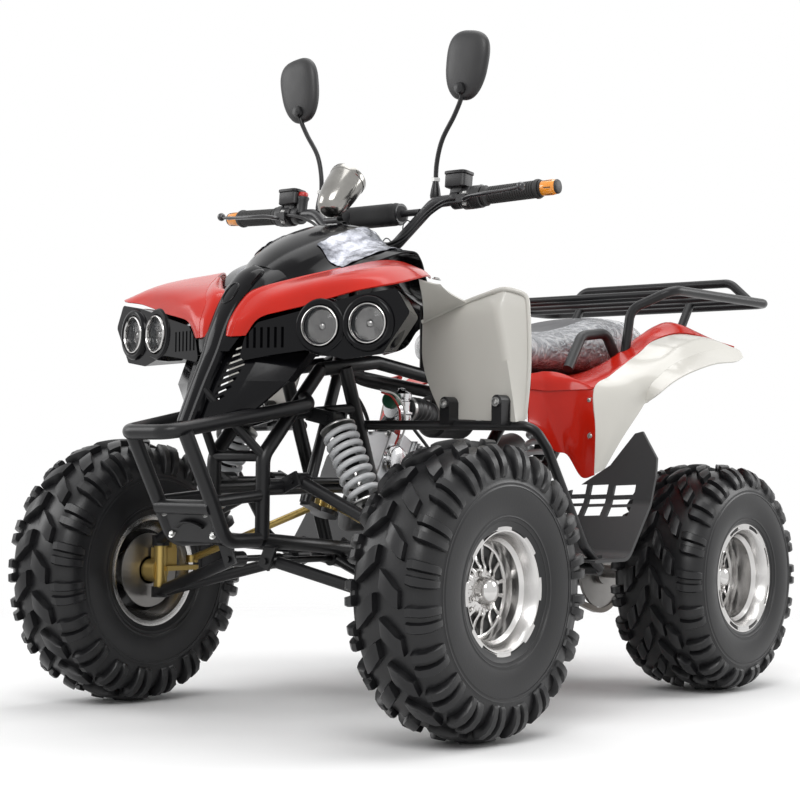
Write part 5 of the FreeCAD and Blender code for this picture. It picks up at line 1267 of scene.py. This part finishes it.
def spine():
    """The crowned rib down the middle of the nose."""
    line = eased([(0, -268, 536), (0, -234, 606), (0, -207, 658), (0, -188, 704), (0, -164, 748), (0, -138, 782),
                  (0, -114, 806), (0, -90, 822)], 6)
    section = ((-1, 12, -5), (-0.97, 1, 0), (-0.75, -3.5, 1.6), (-0.35, -6, 3), (0, -6.8, 3.4), (0.35, -6, 3),
               (0.75, -3.5, 1.6), (0.97, 1, 0), (1, 12, -5), (0, 14, -6))
    rings = []
    for i, p in enumerate(line):
        t = i / (len(line) - 1)
        half = 19 + 12 * t
        if t > 0.88:
            half *= math.sqrt(max(0.05, 1 - ((t - 0.88) / 0.12) ** 2))
        rings.append([p + Vector((x * half, y, z)) for x, y, z in section])
    make("nose_spine", Form().skin(rings), "cowl_black", smooth=50)
    along, out = Vector((0, 0.608, 0.794)), Vector((0, -0.794, 0.608))
    middle = Vector((0, -151, 765)) + out * 6.5
    ring = [middle + Vector((x, 0, 0)) + along * rise for x, rise in oval(44, 13, 24, (1.0, 0.8))]
    make("spine_inset", Form().tube(ring, 2.2, 10, closed=True), "cowl_black", smooth=60)


def hood():
    """Black infill from the dash down to the spine, between the wings."""
    rows = [[Vector((half * side / 0.8, y + side * side * 20, z + fall * drop)) for side, fall in console_cross]
            for y, z, half, drop in ((-80, 822, 125, 1.0), (-106, 805, 104, 0.66), (-128, 784, 92, 0.38),
                                     (-150, 759, 76, 0.2), (-174, 727, 62, 0.05), (-193, 690, 50, 0.0),
                                     (-206, 662, 34, 0.0))]
    panel("dash_hood", sheet(rows, 5, 6, 3.0), "cowl_black", edge=0.8, smooth=55)


wing_lip_edge = (((29, -191, 689), (21, -187, 690)), ((33, -184, 717), (22, -179, 716)),
                 ((39, -160, 754), (25, -153, 752)), ((56, -138, 775), (38, -129, 775)),
                 ((97, -95, 793), (84, -90, 784)), ((150, -32, 814), (145, -32, 808)))
wing_lip_rows = [[row[-1], Vector(p), Vector(q)] for row, (p, q) in zip(wing_rows, wing_lip_edge)]
cover_edge_rows = spots(
    ((181, 515, 620), (181, 515, 636), (176, 516, 650)), ((187, 535, 619), (187, 536, 637), (181, 537, 653)),
    ((195, 556, 618), (195, 557, 638), (186, 558, 656)), ((229, 592, 620), (222, 592, 638), (206, 590, 652)),
    ((267, 613, 621), (258, 612, 628), (246, 608, 634)))


def panel_edges():
    """Lips that turn in from the wings, rolled edges of the flaps, and upturned edges of the red covers."""
    panel("front_wing_lips", sheet(wing_lip_rows, 5, 6, 3.0).both(), "body_red", edge=0.8)
    line = eased([(152, 204, 735), (200, 207, 752), (247, 210, 768), (290, 212, 780), (328, 215, 789), (352, 226, 785),
                  (367, 236, 774), (372, 236, 742), (375, 235, 690), (374, 235, 628), (366, 235, 552)], 6)
    make("flap_rims", Form().tube(line, 4.2, 12).both(), "body_white", smooth=60)
    panel("rear_cover_tops", sheet(cover_edge_rows, 5, 6, 3.2).both(), "body_red")


def lamp_collars():
    """Moulded collars that stand round the lamps."""
    collars = Form()
    for place, deep in zip(lamp_places, (4, 8)):
        collars.turned([(-44, 36), (-44, 50), (-20, 51), (deep - 6, 48.5), (deep - 1, 45), (deep, 40),
                        (deep - 3, 36.2), (-44, 36)], place, lamp_way, 64)
    make("lamp_collars", collars.both(), "cowl_black", smooth=55)


def film_patches():
    """Film left on the two flanks of the dash, lifted at random."""
    grid = refined(console_rows(), 8, 8)
    rows, columns = range(11, 30), range(32, 45)
    crease = random.Random(11)
    patch = []
    for r in rows:
        row = []
        for c in columns:
            along = grid[r + 1][c] - grid[r - 1][c]
            over = grid[r][c + 1] - grid[r][c - 1]
            row.append(grid[r][c] + over.cross(along).normalized() * (2.0 + crease.uniform(-0.9, 1.3)))
        patch.append(row)
    make("dash_film", sheet(patch, 3, 3, 0.5).both(), "cowl_black", look="silver_film", smooth=60)


def fixings():
    """The flaps' clips, and bolts on the flaps, wings, covers, foot guards and bumper plate."""
    ahead, rise = (0, -1, 0), 14
    bolts, clips = Form(), Form()
    for side in (-1, 1):
        for x, z in ((227, 566), (345, 568)):
            clips.turned([(0, 0), (0, 11), (27.5, 11), (28.6, 10), (28.6, 0)], (side * x, 204, z + rise + 2), ahead, 32)
            clips.turned([(0, 0), (0, 9.6), (2.6, 8.8), (3, 7), (3, 0)], (side * x, 175.6, z + rise), ahead, 32)
            bolts.bolt((side * x, 173, z + rise), ahead, 5.6, 4.4)
        bolts.bolt((side * 262, 104, 800.8), (side * 0.15, 0.1, 1), 5.4, 4)
        bolts.bolt((side * 238, 130, 788), (0, 0.3, 1), 5.0, 4)
        for y, z in ((608, 600), (600, 528)):
            bolts.bolt((side * (259 + (622 - z) * 0.12), y, z), (side * 0.2, -1, 0), 4.6, 4)
        for x in (190, 300, 390):
            bolts.bolt((side * x, 398, 297), (0, -0.2, 1), 5, 4)
    for x in (-50, 50):
        for y, z in ((-260, 380), (-242, 342)):
            bolts.bolt((x, y, z), (0, -0.88, 0.47), 5.2, 5)
    make("panel_bolts", bolts, "frame_black", look="bolt_zinc")
    make("flap_clips", clips, "frame_black", look="handle_black", edge=0.8)


def bumper_slot():
    """The curved slot in the bumper's plate, drawn as a flat dark tube of painted shade, and its rim, which thins out
    at both ends.
    """
    plate_way = Vector((0, 30.8, -60)).normalized()
    lift = Vector((0, -0.89, -0.457)) * 2.6
    steps = 24
    line = []
    for i in range(steps + 1):
        a = math.pi * (0.18 + 0.64 * i / steps)
        line.append(Vector((-38 * math.cos(a), -250.5, 361)) + plate_way * (-22 * math.sin(a) + 18) + lift)
    # Painted shade: a dark flat tube where the slot is
    make("bumper_slot", Form().tube(line, 4.6, 12, flat=0.5), "frame_black", look="dark_gap", smooth=60)
    rim = Form().tube(line[:1] + line + line[-1:], 6.2, 12, flat=0.3)
    make("bumper_slot_rim", rim, "frame_black", smooth=60)


def tail_lamp():
    rings = [[Vector((x, y, 664 + z)) for x, z in oval(48, 60 * grow, 17 * grow, (0.35, 0.5))]
             for y, grow in ((1060.6, 0.98), (1064, 1.0), (1078, 1.0), (1086, 0.97), (1089.6, 0.9), (1090.6, 0.8))]
    make("tail_lens", Form().skin(rings), "lens_red", replaced=["tail_lamp"], smooth=50)
    ribs = Form()
    for x in range(-50, 60, 10):
        ribs.tube([(x, 1089.6, 657), (x, 1091.2, 660), (x, 1091.6, 664), (x, 1091.2, 668), (x, 1089.6, 671)], 0.9, 8)
    make("tail_ribs", ribs, "lens_red", smooth=60)
    make("tail_screw", Form().turned(drum(0, 3, 8), (0, 1090, 664), (0, 1, 0), 20), "lens_red", look="bolt_zinc")


spine()
hood()
panel_edges()
lamp_collars()
film_patches()
fixings()
bumper_slot()
tail_lamp()

# Floor, backdrop, lamps and camera


def stage_floor():
    """A white floor that fades out round the bike."""
    reach, fade_start, fade_end = 14.0, 1.3, 2.8
    mesh = bpy.data.meshes.new("floor")
    mesh.from_pydata([(x * reach, y * reach, 0) for x, y in ((-1, -1), (1, -1), (1, 1), (-1, 1))], [], [(0, 1, 2, 3)])
    floor = placed("floor", mesh)
    shader = Shader("floor_white")
    tone = shader.ramp(shader.noise(2.0), [(0.3, (0.86, 0.86, 0.86)), (0.7, (0.9, 0.9, 0.9))])
    shader.drive("Base Color", tone)
    shader.put(Roughness=0.75)
    distance = shader.tree.nodes.new("ShaderNodeVectorMath")
    distance.operation = "LENGTH"
    shader.link(shader.place, distance.inputs[0])
    fade = shader.node("ShaderNodeMapRange")
    fade.interpolation_type = "SMOOTHSTEP"
    fade.inputs["From Min"].default_value = fade_start
    fade.inputs["From Max"].default_value = fade_end
    shader.link(distance.outputs["Value"], fade.inputs["Value"])
    clear = shader.tree.nodes.new("ShaderNodeBsdfTransparent")
    mix = shader.tree.nodes.new("ShaderNodeMixShader")
    shader.link(fade.outputs["Result"], mix.inputs["Fac"])
    shader.link(shader.surface.outputs["BSDF"], mix.inputs[1])
    shader.link(clear.outputs["BSDF"], mix.inputs[2])
    shader.link(mix.outputs["Shader"], shader.tree.nodes["Material Output"].inputs["Surface"])
    mesh.materials.append(shader.material)


def soft_world():
    """A white world, dimmer as a light than where the camera, a gloss or a clear piece sees it."""
    world = bpy.data.worlds.new("studio")
    bpy.context.scene.world = world
    world.use_nodes = True
    tree = world.node_tree
    lit, seen = tree.nodes["Background"], tree.nodes.new("ShaderNodeBackground")
    for shade_node, strength in ((lit, 0.55), (seen, 1.0)):
        shade_node.inputs["Color"].default_value = (1.0, 1.0, 1.0, 1.0)
        shade_node.inputs["Strength"].default_value = strength
    path = tree.nodes.new("ShaderNodeLightPath")
    either = path.outputs["Is Camera Ray"]
    for ray in ("Is Glossy Ray", "Is Transmission Ray"):
        most = tree.nodes.new("ShaderNodeMath")
        most.operation = "MAXIMUM"
        tree.links.new(either, most.inputs[0])
        tree.links.new(path.outputs[ray], most.inputs[1])
        either = most.outputs["Value"]
    mix = tree.nodes.new("ShaderNodeMixShader")
    tree.links.new(either, mix.inputs["Fac"])
    tree.links.new(lit.outputs["Background"], mix.inputs[1])
    tree.links.new(seen.outputs["Background"], mix.inputs[2])
    tree.links.new(mix.outputs["Shader"], tree.nodes["World Output"].inputs["Surface"])


def lamp(name, place, aim, size, power):
    """A soft rectangular lamp, placed and aimed in metres."""
    light = bpy.data.lights.new(name, "AREA")
    light.shape = "RECTANGLE"
    light.size, light.size_y = size
    light.energy = power
    thing = placed(name, light)
    thing.location = place
    thing.rotation_euler = (Vector(aim) - Vector(place)).to_track_quat("-Z", "Y").to_euler()


camera_place = at(2348.6, -2582.5, 467.5)
camera_yaw = -0.679
camera_pitch = -0.034
camera_roll = 0.010
camera_lens = 85.22


def photo_camera():
    """The camera that took the photograph, solved from the four wheels."""
    level = math.cos(camera_pitch)
    ahead = Vector((math.sin(camera_yaw) * level, math.cos(camera_yaw) * level, -math.sin(camera_pitch)))
    right = ahead.cross(Vector((0, 0, 1))).normalized()
    above = right.cross(ahead)
    turn_cos, turn_sin = math.cos(camera_roll), math.sin(camera_roll)
    side = right * turn_cos + above * turn_sin
    top = above * turn_cos - right * turn_sin
    data = bpy.data.cameras.new("photo_camera")
    data.lens = camera_lens
    data.sensor_width = 36.0
    data.clip_end = 60.0
    camera = placed("photo_camera", data)
    camera.matrix_world = Matrix.Translation(camera_place) @ Matrix((side, top, -ahead)).transposed().to_4x4()
    bpy.context.scene.camera = camera


stage_floor()
soft_world()
lamp("key_lamp", (2.4, -3.6, 3.6), (0, 0, 0.4), (2.6, 2.0), 112)
lamp("side_lamp", (-3.4, -2.6, 2.4), (0, 0, 0.5), (2.4, 2.0), 60)
lamp("top_lamp", (0.2, 0.6, 3.8), (0, 0, 0.4), (3.0, 3.0), 72)
lamp("back_lamp", (2.6, 3.2, 2.2), (0, 0.2, 0.6), (2.0, 1.6), 50)
photo_camera()
bpy.context.scene.view_settings.view_transform = "Standard"
